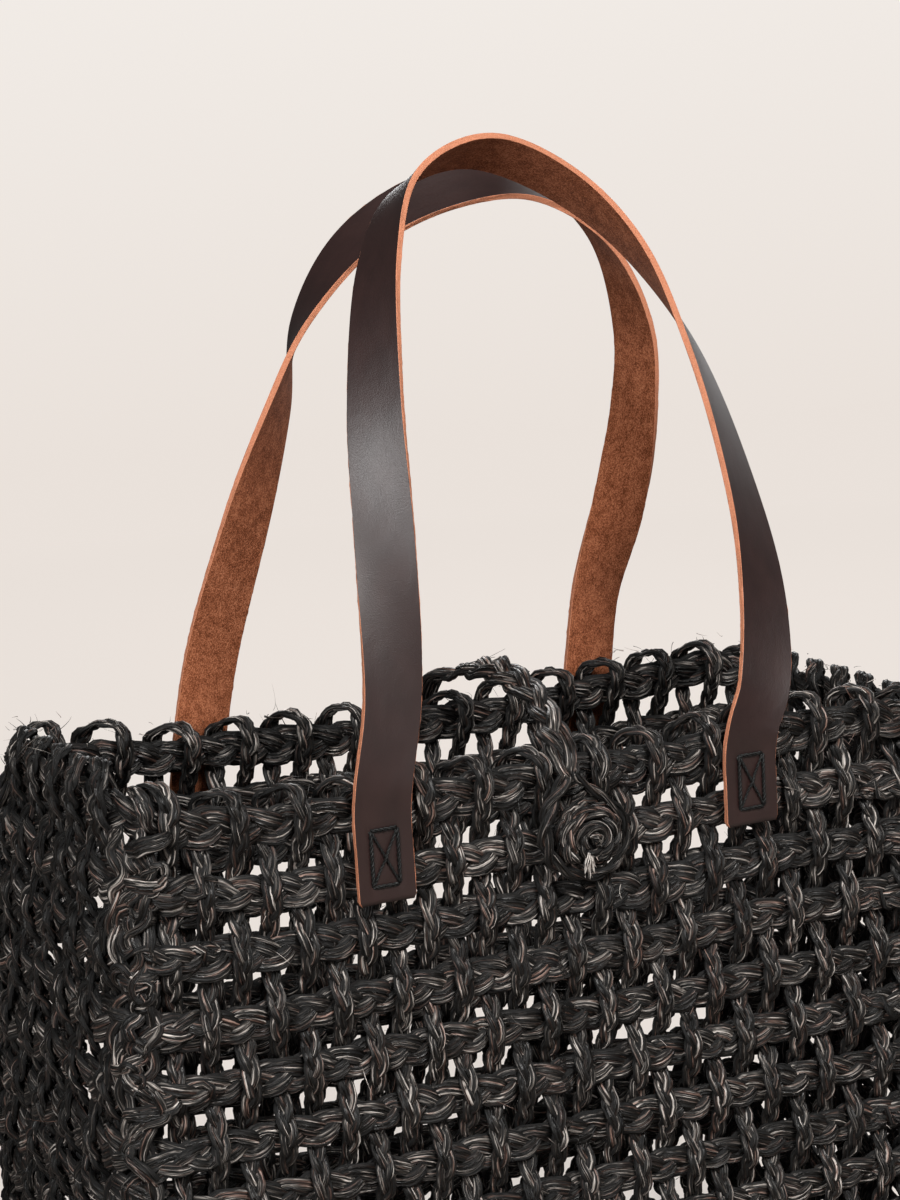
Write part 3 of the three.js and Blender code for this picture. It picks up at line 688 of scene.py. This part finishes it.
def grain_material():
    """Smooth dark brown leather with fine pores and soft creases."""
    g = Graph("leather_grain")
    place = g.attribute("grain")
    fine = g.vector("MULTIPLY", place, (1.7, 1.7, 1.7))
    pores = g.node("TexVoronoi", {"Vector": fine, "Scale": 1.0}, feature="F1")
    cloud = g.noise(place, 0.05, 0.09, 4.0)
    speck = g.noise(place, 1.3, 1.3, 2.0)
    return g.finish_surface(
        colour=g.ramp(cloud, (0.30, (0.0155, 0.0050, 0.0042)), (0.70, (0.0240, 0.0088, 0.0075))),
        roughness=g.total((speck, 0.12), 0.38),
        specular=0.78,
        normal=g.bumps((cloud, 0.25, 0.0010), (pores.outputs["Distance"], 0.30, 0.00012)),
    )


def suede_material():
    """The strap's flesh side: tan, mottled and matt."""
    g = Graph("leather_suede")
    place = g.attribute("grain")
    cloud = g.noise(place, 0.16, 0.22, 5.0, 0.65)
    nap = g.noise(place, 1.4, 1.9, 3.0, 0.7)
    colour = g.ramp(
        g.total((cloud, 0.30), (nap, 0.70)),
        (0.40, (0.120, 0.034, 0.013)),
        (0.50, (0.265, 0.083, 0.036)),
        (0.60, (0.450, 0.170, 0.085)),
    )
    sheen = {"Sheen Weight": 0.06, "Sheen Roughness": 0.5}
    return g.finish_surface(colour, 0.93, 0.07, g.bumps((nap, 0.6, 0.0006)), **sheen)


def edge_material():
    """The cut edge: raw orange hide with loose fibres."""
    g = Graph("leather_edge")
    nap = g.noise(g.attribute("grain"), 1.6, 2.4, 3.0, 0.7)
    colour = g.ramp(nap, (0.30, (0.42, 0.135, 0.066)), (0.70, (0.72, 0.320, 0.190)))
    return g.finish_surface(colour, 0.9, 0.2, g.bumps((nap, 0.5, 0.0006)))


def thread_material():
    """Black waxed thread."""
    g = Graph("black_thread")
    twist = g.noise(g.attribute("grain"), 1.1, 1.8, 2.0)
    colour = g.ramp(twist, (0.35, (0.003, 0.003, 0.003)), (0.70, (0.012, 0.013, 0.013)))
    return g.finish_surface(colour, 0.55, 0.3, g.bumps((twist, 0.6, 0.0004)))


GRASS = grass_material("black_grass", 0.0)
# A lighter copy of the grass, with painted highlight, for the loop's band and the button.
PAINTED_HIGHLIGHT_GRASS = grass_material("painted_highlight_grass", 0.020)
# A darker copy of the grass, with painted shade, for the warps of the end walls.
PAINTED_SHADE_GRASS = grass_material("painted_shade_grass", -0.040)
WORN_GRASS = grass_material("worn_grass", 0.078)
STRAP_LEATHER = [grain_material(), suede_material(), edge_material()]
THREAD = thread_material()


# The woven bag.
def make_plait(node, path, spec, material):
    shape = Shape()
    braid(shape, path, spec, closed=True)
    shape.finish(f"plait_{node}", material, node)


def make_wefts():
    make_plait("rim_braid", weft_path(0), RIM, GRASS)
    for row in range(1, WEFT_ROWS + 1):
        make_plait(f"weft_braid_{row:02d}", weft_path(row), WEFT, GRASS)


def make_warps():
    """The columns of each warp are in the order in which it passes them."""
    for pair in range(FRONT_PAIRS):
        first = 2 * pair - FRONT_COLUMNS / 2 + 0.5
        columns = [first, first + 1, HALF_AROUND - first - 1, HALF_AROUND - first]
        path = hairpin_path(columns, TO_FRONT, FRONT_BASE)
        make_plait(f"warp_braid_{pair + 1:02d}", path, WARP, GRASS)
    for pair in range(END_PAIRS):
        first = FRONT_COLUMNS / 2 + 2 * pair + 0.5
        columns = [first, first + 1, -first - 1, -first]
        path = hairpin_path(columns, TO_RIGHT, END_BASE)
        # The end walls' warps take the darker grass with painted shade.
        make_plait(f"end_warp_braid_{pair + 1:02d}", path, END_WARP, PAINTED_SHADE_GRASS)


# The leather straps.
def on_strap_plane(strap, x, above):
    """The middle of a strap where it lies flat on the wall, at a height over its fold line."""
    side, height = strap["side"], strap["fold_height"] + above
    point = np.array([x, side * STRAP_MIDDLE, height])
    return point + slump(np.array([x, side * HALF_DEPTH, 0.0]), height)


def strap_axes(strap):
    """The directions up and outwards on a strap's sewn ends."""
    side, rise, run = strap["side"], cos(strap["lean"]), sin(strap["lean"])
    return np.array([0.0, -run, rise]), np.array([0.0, side * rise, side * run])


def strap_path(strap):
    """Points along the middle of a strap between its cut ends, each with the way it faces."""
    route, tabs = strap["route"], strap["tabs"]
    up, out = strap_axes(strap)
    points = []
    for x, y, z, face in route:
        place = on_strap_plane(strap, x, z) if y is None else (x, y, z)
        points.append((*place, *face))

    def sewn(end, *shares):
        x, depth = route[end][0], tabs[end] * up[2]
        return [(*on_strap_plane(strap, x, -depth * share), *out) for share in shares]

    return centripetal(sewn(0, 1, 0.5) + points + sewn(-1, 0.5, 1), 10)


# The sewn box: half its width, and its top and bottom over the strap's end.
BOX_HALF = 5.9
BOX_TOP = 31.0
BOX_BOTTOM = 7.2
BOX_CORNERS = [(-1, BOX_TOP), (1, BOX_TOP), (1, BOX_BOTTOM), (-1, BOX_BOTTOM)]
BOX_LINES = [(0, 1), (1, 2), (2, 3), (3, 0), (0, 2), (1, 3)]
LINE_POINTS = 21
THREAD_RISE = 1.45  # from where it leaves the leather to where it lies on it
CROSSING_RISE = 0.9

# Dents: how deep they are, and how wide.
LINE_DENT = (0.40, 1.3)
HOLE_DENT = (0.9, 1.2)


def box_line(line):
    return [np.array([BOX_CORNERS[i][0] * BOX_HALF, BOX_CORNERS[i][1]]) for i in line]


def stitch_dents(u, v):
    """How deep the thread pulls into the leather at places on a sewn end."""
    place = np.stack([u, v], axis=-1)
    deepest = np.zeros_like(u)

    def press(points, dent):
        away = norm(place - points, axis=-1)
        return np.maximum(deepest, dent[0] * np.exp(-((away / dent[1]) ** 2)))

    for line in BOX_LINES:
        start, end = box_line(line)
        way = end - start
        share = np.clip(((place - start) @ way) / (way @ way), 0, 1)
        deepest = press(start + share[..., None] * way, LINE_DENT)
    for side, above in BOX_CORNERS:
        deepest = press(np.array([side * BOX_HALF, above]), HOLE_DENT)
    return deepest


def make_stitches(strap, label, leg):
    """A box of waxed thread with a cross in it, through the sewn end of a strap."""
    name = f"{strap['name']}_{label}"
    up, out = strap_axes(strap)
    origin = on_strap_plane(strap, strap["route"][leg][0], -strap["tabs"][leg] * up[2])
    share = np.linspace(0, 1, LINE_POINTS)
    shape = Shape()
    for order, line in enumerate(BOX_LINES):
        start, end = box_line(line)
        flat = start + share[:, None] * (end - start)
        sunk = np.minimum(share, 1 - share) * norm(end - start)
        high = STRAP_THICKNESS / 2 - 1.1 + THREAD_RISE * np.clip(sunk / 1.6, 0, 1) ** 0.5
        if order == len(BOX_LINES) - 1:
            high = high + CROSSING_RISE * np.exp(-(((share - 0.5) / 0.09) ** 2))
        points = origin + flat[:, :1] * TO_RIGHT + flat[:, 1:] * up + high[:, None] * out
        wide = np.tile(np.cross(out, points[-1] - points[0]), (LINE_POINTS, 1))
        rows = np.column_stack([points, wide, np.ones(LINE_POINTS)])
        braid(shape, centripetal(rows, 3), CROSSING if order > 3 else SEWING)
    shape.finish(f"thread_{name}", THREAD, f"{name}_stitch", slot="thread")


# A strap's section, and how it hollows and frays.
STRAP_STEP = 2.0
CORNER_ROW = 0.15
NEXT_ROW = 0.35
FLAT_POINTS = 25
FRAY_CHANGE = (0.009, 1.2)
HOLLOW = 0.38
HOLLOW_CHANGE = (0.30, 30)
ROUNDED_END = 1.5


def strap_section():
    """The outline of a strap's section, and which material each of its sides takes."""
    half, deep = STRAP_WIDTH / 2, STRAP_THICKNESS / 2
    # Close rows on both sides of each corner keep the cut edge flat and its border sharp.
    flat_half, next_half = half - CORNER_ROW, half - NEXT_ROW
    across = [-flat_half, *np.linspace(-next_half, next_half, FLAT_POINTS), flat_half]
    heights = [deep - CORNER_ROW, deep - NEXT_ROW, 0, -deep + NEXT_ROW, -deep + CORNER_ROW]
    outline = [(x, deep) for x in across] + [(half, z) for z in heights]
    outline += [(x, -deep) for x in across[::-1]] + [(-half, z) for z in heights[::-1]]
    flat, edge = len(across) - 1, len(heights) + 1
    return np.array(outline), [0] * flat + [2] * edge + [1] * flat + [2] * edge


def make_strap(strap):
    path, place, length = resample(strap_path(strap), STRAP_STEP)
    points, face = path[:, :3], path[:, 3:6]
    travel = unit(np.gradient(points, axis=0))
    wide = unit(np.cross(travel, face))
    face = np.cross(wide, travel)
    count, half = len(points), STRAP_WIDTH / 2
    outline, kinds = strap_section()
    sides = len(outline)
    fray = 1 + np.stack([varied(FRAY_CHANGE, count) for _ in range(sides)], axis=1)
    w = outline[:, 0][None, :] * np.where(np.abs(outline[:, 0]) > half - 0.1, fray, 1.0)
    d = np.broadcast_to(outline[:, 1][None, :], w.shape)
    from_end = np.minimum(place, length - place)[:, None]
    w = w * (1 - 0.08 * np.clip(1 - from_end / ROUNDED_END, 0, 1) ** 2)
    sag = (varied(HOLLOW_CHANGE, count)[:, None] + HOLLOW) * (np.abs(w) / half) ** 2
    pulled = stitch_dents(w, np.broadcast_to(from_end, w.shape)) * (d > 0)
    raised = (d + sag - pulled)[..., None]
    ring = points[:, None, :] + w[..., None] * wide[:, None] + raised * face[:, None]
    grain = np.stack([np.broadcast_to(place[:, None], w.shape), w, d], axis=-1).reshape(-1, 3)
    grain = grain + (strap["side"] * 500.0 + 900.0) * TO_RIGHT
    quads, caps = tube_faces(count, sides, False)
    quads, caps = quads[:, ::-1], [cap[::-1] for cap in caps]
    label, kinds = strap["name"], np.tile(kinds, count - 1)
    points = ring.reshape(-1, 3)
    name = f"{label}_strap_leather"
    obj = add_mesh(name, points, quads, STRAP_LEATHER, grain, None, caps, kinds)
    for polygon in obj.data.polygons[-2:]:
        polygon.material_index = 2
        polygon.use_smooth = False
    nodes = [f"{label}_{part}" for part in ("handle_strap", "left_tab", "right_tab")]
    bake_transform(obj)
    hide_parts(*nodes)


make_wefts()
make_warps()
for strap in STRAPS:
    make_strap(strap)
for strap in STRAPS:
    make_stitches(strap, "left", 0)
    make_stitches(strap, "right", -1)


# The closing loop and its button. The points of its eye are x and z in the plane of the wall.
BUTTON_X = 12.0
BUTTON_HEIGHT = 279.7
BUTTON_BACK = -77.2
BAND_POINTS = [
    (6.0, 82.5, 303.0), (7.0, 81.5, 312.0), (9.5, 72.0, 321.5), (12.5, 56.0, 325.5),
    (13.8, 38.0, 330.5), (14.5, 20.0, 333.5), (14.5, 2.0, 334.0), (13.7, -18.0, 332.0),
    (11.5, -36.0, 328.5), (7.5, -54.0, 324.5), (4.0, -68.0, 320.5), (3.0, -78.0, 314.0),
    (3.4, -81.5, 306.5),
]
BAND_ROLL = ([2, 5, 9, 11], [0.0, 0.62, 0.62, 0.0])
EYE_POINTS = [
    (2.0, 309.0), (0.5, 305.5), (-4.0, 299.5), (-8.6, 291.7),
    (-9.8, 281.0), (-6.5, 270.9), (1.2, 264.8), (10.8, 261.9),
    (19.5, 263.2), (25.8, 268.6), (28.4, 277.6), (26.4, 286.6),
    (19.0, 294.8), (10.6, 301.8), (6.0, 305.8), (4.5, 309.0),
]
EYE_DEPTH = -81.0
EYE_SIZES = ([0, 0.12, 0.40, 0.6, 1], [1.0, 1.25, 0.95, 0.78, 0.76])


def make_loop():
    points = np.array(BAND_POINTS)
    # The band rolls to the left where it comes down to the front rim.
    roll = np.interp(np.arange(len(points)), *BAND_ROLL)
    wide = np.stack([np.cos(roll), 0 * roll, np.sin(roll)], axis=1)
    rows = np.column_stack([points, wide, np.ones(len(points))])
    shape = Shape()
    braid(shape, centripetal(rows, 8), BAND)
    # The band takes the lighter grass with painted highlight.
    shape.finish("loop_band", PAINTED_HIGHLIGHT_GRASS, "closing_loop_band")
    flat = np.array(EYE_POINTS)
    radial = unit(flat - np.array([BUTTON_X, BUTTON_HEIGHT]))
    count = len(flat)
    depth = EYE_DEPTH - 0.5 * np.sin(np.linspace(0, 9, count))
    points = np.stack([flat[:, 0], depth, flat[:, 1]], axis=1)
    wide = np.stack([radial[:, 0], 0.25 * np.ones(count), radial[:, 1]], axis=1)
    size = np.interp(np.linspace(0, 1, count), *EYE_SIZES)
    rows = np.column_stack([points, wide, size])
    shape = Shape()
    braid(shape, centripetal(rows, 8), LEG)
    shape.finish("loop_eye", GRASS, "closing_loop_eye", body="loop_eye")


# The button: a coil from its edge to its middle, a ring under the edge and a dome within.
COIL_STEPS = 80
COIL_TURNS = 1.9
EDGE_STEPS = 40
DOME_SIDES = 24
DOME_PROFILE = [(12.3, 0.5), (12.6, 2.2), (10.0, 4.4), (5.5, 6.2), (1.0, 7.0)]
# The dome takes full painted shade, so it is drawn near black within the coil.
DOME_TONE_AND_SHADE = np.array([0.3, 0.4, 1.0])


def coil_row(radius, angle, high, size):
    across = (cos(angle), 0.5, sin(angle))
    x = BUTTON_X + radius * cos(angle)
    z = BUTTON_HEIGHT + radius * sin(angle)
    return [x, BUTTON_BACK - high, z, *across, size]


def make_button():
    shape = Shape()
    rows = []
    for share in np.arange(COIL_STEPS + 1) / COIL_STEPS:
        radius = 12.6 - 9.9 * share**0.95 + 0.35 * sin(7 * share)
        angle = -2.2 - tau * COIL_TURNS * share
        high = 4.6 + 4.2 * (1 - (radius / 14) ** 2)
        rows.append(coil_row(radius, angle, high, 1 - 0.12 * share))
    braid(shape, np.array(rows), COIL)
    rows = []
    for i in range(EDGE_STEPS):
        radius = 13.6 + 0.4 * sin(3 * i)
        rows.append(coil_row(radius, tau * i / EDGE_STEPS, 1.8, 0.9))
    braid(shape, np.array(rows), COIL, closed=True)
    rows = [coil_row(3.0 * abs(s) + 0.2, 0.6 + 2.4 * s, 8.8, 1.15) for s in (-1, -0.4, 0.3, 1)]
    braid(shape, centripetal(rows, 5), HEART)
    turn = circle(DOME_SIDES)
    rings = []
    for radius, high in DOME_PROFILE:
        x = BUTTON_X + radius * np.cos(turn)
        z = BUTTON_HEIGHT + radius * np.sin(turn)
        rings.append(np.stack([x, np.full(DOME_SIDES, BUTTON_BACK - high), z], axis=1))
    # A near-black dome of painted shade fills the middle under the coil.
    dome = np.array(rings)
    shape.add(dome, dome - dome[0, 0], DOME_TONE_AND_SHADE)
    # The button takes the lighter grass with painted highlight.
    shape.finish("coiled_button", PAINTED_HIGHLIGHT_GRASS, "rosette_button")


# Lashings where the wefts turn back at the corners.
CORNER_PLACE = 13.3
WRAP_SLANTS = (18, 88)
WRAP_HALVES = ((6.5, 9.5), (8, 12))
CORD_PLACES = ((-0.40, 5.4), (0.15, 6.6))  # to the side, in columns, and how far out
KNOTS = 12


def wall_row(columns, outwards, height, wide=(0.0, 0.0, 1.0), size=1.0):
    """A row of a path on the outside of the slumped wall. wide is along the wall, out and up."""
    near = plan_point(np.array([columns - 0.05, columns, columns + 0.05]))
    along = unit(near[2] - near[0])
    out = np.cross(along, UP)
    point = near[1] + slump(near[1], height) + outwards * out
    direction = wide[0] * along + wide[1] * out + wide[2] * UP
    return [point[0], point[1], height, *direction, size]


def add_turns(shape, levels, corner, inward):
    """Wefts that turn back in pairs round a corner."""
    for upper in range(1, WEFT_ROWS, 2):
        top, bottom = levels[upper], levels[upper + 1]
        middle, half = (top + bottom) / 2, (top - bottom) / 2
        rows = [wall_row(corner + inward * 2.2, 1.5, top, UP, 0.9)]
        for share in np.linspace(-1, 1, 13):
            angle = share * pi / 2
            columns = corner + inward * (1.0 - 1.25 * cos(angle) ** 0.8)
            out = 6.8 - 2.4 * abs(share) ** 3 + rng.normal(0, 0.2)
            wide = (inward * -cos(angle), 0.1, sin(angle))
            rows.append(wall_row(columns, out, middle - half * sin(angle), wide))
        rows.append(wall_row(corner + inward * 2.2, 1.5, bottom, -UP, 0.9))
        braid(shape, centripetal(rows, 4), CORNER)


def add_wraps(shape, top, corner):
    """Short wraps of one strand each, laid over the ridge at all angles."""
    height = 9.0
    steep = 0
    while height < top + 5:
        steep = 1 - steep
        slant = radians(rng.normal(WRAP_SLANTS[steep], 24))
        half = rng.uniform(*WRAP_HALVES[steep])
        centre = corner + rng.normal(0, 0.17)
        crest = rng.uniform(6.8, 9.6)
        rows = []
        for share in np.linspace(-1, 1, 7):
            sideways = half * share * cos(slant) + 1.2 * rng.normal()
            upwards = half * share * sin(slant)
            wide = (-sin(slant), 0.35 * share, cos(slant))
            columns = centre + sideways / COLUMN_PITCH
            rows.append(wall_row(columns, crest - 5.2 * share**2, height + upwards, wide))
        braid(shape, centripetal(rows, 4), WRAP)
        height += rng.uniform(6.5, 11.5)


def add_cords(shape, top, corner, inward):
    """Twisted cords that wind up and down the ridge."""
    for offset, lift in CORD_PLACES:
        rows = []
        for height in np.arange(6.0, top + 4, 9.0):
            columns = corner + inward * offset + rng.normal(0, 0.13)
            rows.append(wall_row(columns, lift + rng.normal(0, 0.6), height, TO_RIGHT))
        braid(shape, centripetal(rows, 4), CORD)


def add_knots(shape, top, corner):
    for height in rng.uniform(20, top + 2, KNOTS):
        middle = corner + rng.normal(0, 0.22)
        radius = rng.uniform(1.8, 3.6)
        tilt = rng.uniform(-1.2, 1.2)
        ring = []
        for angle in circle(11):
            sideways = radius * cos(angle) + 0.3 * rng.normal()
            upwards = 1.5 * radius * sin(angle) + tilt * sideways
            out = 8.0 + 1.2 * sin(angle + tilt)
            wide = (cos(angle), 0.5, sin(angle))
            ring.append(wall_row(middle + sideways / COLUMN_PITCH, out, height + upwards, wide))
        braid(shape, centripetal(ring, 4, closed=True), KNOT, closed=True)


def make_corner(name, corner, inward):
    shape = Shape()
    place = plan_point(corner)
    levels = [row_height(row, place) for row in range(WEFT_ROWS + 1)]
    add_turns(shape, levels, corner, inward)
    add_wraps(shape, levels[0], corner)
    add_cords(shape, levels[0], corner, inward)
    add_knots(shape, levels[0], corner)
    shape.finish(name, GRASS)


# Loose fibres.
HAIR_SIDES = 3
HAIR_SEGMENTS = 5
BLADE_SEGMENTS = 7
HAIRS = 1500
# Ends of blades that stand out: start, end, sideways bend and radius.
BLADE_ENDS = [
    ((-79, 66, 316), (-69, 66, 311), (0.1, 0.0, 0.3), 0.7),
    ((6, 40, 331), (21, 37, 337), (0.25, 0.0, -0.15), 0.55),
    ((8, 38, 331), (27, 34, 336), (0.1, 0.0, 0.12), 0.3),
    ((180, 60, 305), (190, 62, 316), (0.2, 0.0, -0.2), 0.5),
    ((-120, -66, 320), (-112, -68, 325), (0.2, 0.0, -0.4), 0.4),
    ((-178, -60, 316), (-182, -62, 326), (0.2, 0.0, -0.3), 0.6),
    ((-176, -60, 314), (-172, -60, 325), (-0.2, 0.0, -0.3), 0.5),
    ((13, -86.5, 281), (24, -84.5, 278), (0.1, 0.0, 0.25), 0.5),
    ((14, -86.5, 279), (25, -84.0, 279), (0.0, 0.0, -0.2), 0.4),
    ((15, -86.0, 277), (23, -84.0, 284), (0.2, 0.0, 0.1), 0.45),
    ((12, -87.0, 278), (18, -85.5, 271), (-0.1, 0.0, 0.3), 0.4),
    ((10, -87.0, 280), (20, -85.0, 275), (0.2, 0.0, 0.3), 0.35),
]
# The worn end of the button's last strand.
TUFT_BLADES = 34
TUFT_START = np.array([8.2, -86.5, 273.0])
TUFT_SPREAD = np.array([0.9, 0.3, 0.8])
TUFT_RADIUS = 0.42


def add_hair(shape, start, way, bend, length, radius, segments):
    """A thin tapered tube that leaves start along way and bends."""
    share = np.linspace(0, 1, segments + 1)[:, None]
    line = start + length * (share * way + share**2 * bend)
    travel = unit(np.gradient(line, axis=0))
    across = unit(np.cross(travel, np.array([0.31, 0.57, 0.76])))
    face = np.cross(travel, across)
    angle = circle(HAIR_SIDES)
    thick = radius * (1 - 0.75 * share)
    a, b = thick * np.cos(angle), thick * np.sin(angle)
    ring = line[:, None, :] + a[..., None] * across[:, None] + b[..., None] * face[:, None]
    grain = np.broadcast_to(share[:, None] * length * TO_RIGHT, ring.shape)
    shape.add(ring, grain, (rng.uniform(), rng.uniform(), 0.0))


def hair_root():
    """Where a loose fibre leaves the weave, and the way that it leaves it."""
    columns = rng.uniform(0, COLUMNS_AROUND)
    if rng.uniform() < 0.4:
        height = RIM_LEVEL + rng.uniform(-8, 18)
    else:
        row = rng.integers(1, WEFT_ROWS + 1)
        height = LOWEST_ROW + (WEFT_ROWS - row) * ROW_PITCH + rng.uniform(-9, 9)
    rise = rim_rise(plan_point(columns))
    height = height + rise * max(0.0, 1 - (RIM_LEVEL - height) / (ROW_PITCH * WAVE_ROWS))
    outwards = rng.uniform(1.5, 6.5) * (1 if rng.uniform() < 0.75 else -1)
    beside = (columns, columns + 0.1)
    here, ahead = [np.array(wall_row(c, outwards, height)[:3]) for c in beside]
    along = unit(ahead - here)
    out = np.sign(outwards) * np.cross(along, UP)
    way = rng.normal(0, 1, 3) * np.array([1.0, 0.6, 1.0])
    return here, unit(way[0] * along + (abs(way[1]) + 0.25) * out + way[2] * UP)


def make_fibres():
    roots = [hair_root() for _ in range(HAIRS)]
    bends = rng.normal(0, 0.45, (HAIRS, 3))
    lengths = rng.gamma(2.2, 2.1, HAIRS).clip(2, 11)
    radii = rng.uniform(0.12, 0.27, HAIRS)
    shape = Shape()
    for root, bend, length, radius in zip(roots, bends, lengths, radii):
        add_hair(shape, *root, bend, length, radius, HAIR_SEGMENTS)
    shape.finish("loose_fibres", GRASS)


def make_blades(name, blades, material):
    shape = Shape()
    for start, end, bend, radius in blades:
        reach = np.subtract(end, start)
        length = norm(reach)
        add_hair(shape, start, reach / length, np.array(bend), length, radius, BLADE_SEGMENTS)
    shape.finish(name, material)


def tuft_blade():
    spread = rng.normal(0, 1, 3)
    start = TUFT_START + spread * TUFT_SPREAD
    end = start + np.array([-1.2 + 0.9 * spread[0], -1.0, -6.0 + 1.2 * spread[2]])
    return start, end, (0.16 * spread[1], -0.1, 0.14 * spread[0]), TUFT_RADIUS


make_loop()
make_button()
make_corner("corner_front_left", -CORNER_PLACE, 1)
make_corner("corner_front_right", CORNER_PLACE, -1)
make_corner("corner_back_right", HALF_AROUND - CORNER_PLACE, 1)
make_corner("corner_back_left", CORNER_PLACE - HALF_AROUND, -1)
make_fibres()
tuft = [tuft_blade() for _ in range(TUFT_BLADES)]
make_blades("blade_ends", BLADE_ENDS, GRASS)
make_blades("frayed_tuft", tuft, WORN_GRASS)


# Camera of the photograph. Its angles are azimuth, elevation and roll, in degrees.
CAMERA_TARGET = (-11.95, 0.0, 371.51)
CAMERA_DISTANCE = 1111.62
CAMERA_ANGLES = (-23.3, 10.59, -3.17)
FRAME_HEIGHT = 36.0
FOCAL_LENGTH = FRAME_HEIGHT * 2524.2 / 1200


def make_camera():
    azimuth, elevation, roll = [radians(angle) for angle in CAMERA_ANGLES]
    turn = Matrix.Rotation(azimuth, 4, "Z") @ Matrix.Rotation(pi / 2 - elevation, 4, "X")
    turn = turn @ Matrix.Rotation(roll, 4, "Z")
    data = bpy.data.cameras.new("camera")
    data.lens = FOCAL_LENGTH
    data.sensor_width = FRAME_HEIGHT
    camera = add_to_scene("camera", data)
    place = (Vector(CAMERA_TARGET) + CAMERA_DISTANCE * turn.col[2].xyz) * MM
    camera.matrix_world = Matrix.Translation(place) @ turn
    bpy.context.scene.camera = camera


# Floor, backdrop and light, in metres.
BACKDROP = (0.820, 0.755, 0.705, 1.0)
BACKDROP_HIGH = (0.880, 0.832, 0.790, 1.0)
BACKDROP_BOUNCE = (0.24, 0.21, 0.19, 1.0)
PAPER_HALF = 3.2
PALING_FROM = -0.12
PALING_TO = 0.06
DAYLIGHT = (1.0, 0.98, 0.96)
AMBIENT = 0.08
BAG_MIDDLE = (0.0, 0.0, 0.3)


def make_stage():
    g = Graph("backdrop_paper")
    seen = g.camera_ray()
    # Less light comes back from the paper to the bag than the camera sees on it.
    diffuse = g.node("BsdfDiffuse", {"Color": g.mix(seen, BACKDROP_BOUNCE, BACKDROP)})
    glow = g.node("Emission", {"Color": BACKDROP})
    # Far from the bag the paper shows its plain colour, and its edge can't be seen.
    place = g.node("TexCoord", {}).outputs["Object"]
    away = g.node("VectorMath", {0: place}, operation="LENGTH").outputs["Value"]
    plain = g.ramp(g.math("MULTIPLY", away, 0.3), (0.2, (0.75, 0.75, 0.75)), (0.8, WHITE))
    paper = g.finish(g.either(g.math("MULTIPLY", seen, plain), diffuse, glow))
    corners = np.array([(-1, -1, 0), (1, -1, 0), (1, 1, 0), (-1, 1, 0)])
    obj = add_mesh("backdrop", corners * PAPER_HALF / MM, np.array([[0, 1, 2, 3]]), [paper])


def add_light(name, place, aim, size, power, colour=(1, 1, 1)):
    data = bpy.data.lights.new(name, "AREA")
    data.shape = "RECTANGLE"
    data.size, data.size_y = size
    data.energy = power
    data.color = colour
    light = add_to_scene(name, data)
    light.location = place
    light.rotation_mode = "QUATERNION"
    light.rotation_quaternion = (Vector(aim) - Vector(place)).to_track_quat("-Z", "Y")


def make_lights():
    add_light("window", (0.1, -1.8, 2.1), BAG_MIDDLE, (0.8, 0.8), 66, DAYLIGHT)
    add_light("side", (-1.73, -1.28, 1.21), (-0.06, -0.05, 0.44), (1.2, 0.6), 33)
    add_light("fill", (2.0, 1.2, 1.2), BAG_MIDDLE, (1.1, 1.1), 10)
    add_light("back", (0.9, 2.2, 1.4), BAG_MIDDLE, (1.0, 1.0), 24)
    g = Graph("studio", bpy.data.worlds)
    ambient = g.node("Background", {"Color": (*DAYLIGHT, 1.0), "Strength": AMBIENT})
    # Beyond the paper, the camera sees its colour go on and grow paler upwards.
    way = g.node("SeparateXYZ", {0: g.node("TexCoord", {}).outputs["Generated"]})
    inputs = {"Value": way.outputs["Z"], "From Min": PALING_FROM, "From Max": PALING_TO}
    rise = g.node("MapRange", inputs).outputs["Result"]
    beyond = g.node("Background", {"Color": g.mix(rise, BACKDROP, BACKDROP_HIGH)})
    bpy.context.scene.world = g.finish(g.either(g.camera_ray(), ambient, beyond))


make_camera()
make_stage()
make_lights()
bpy.context.scene.view_settings.view_transform = "Standard"
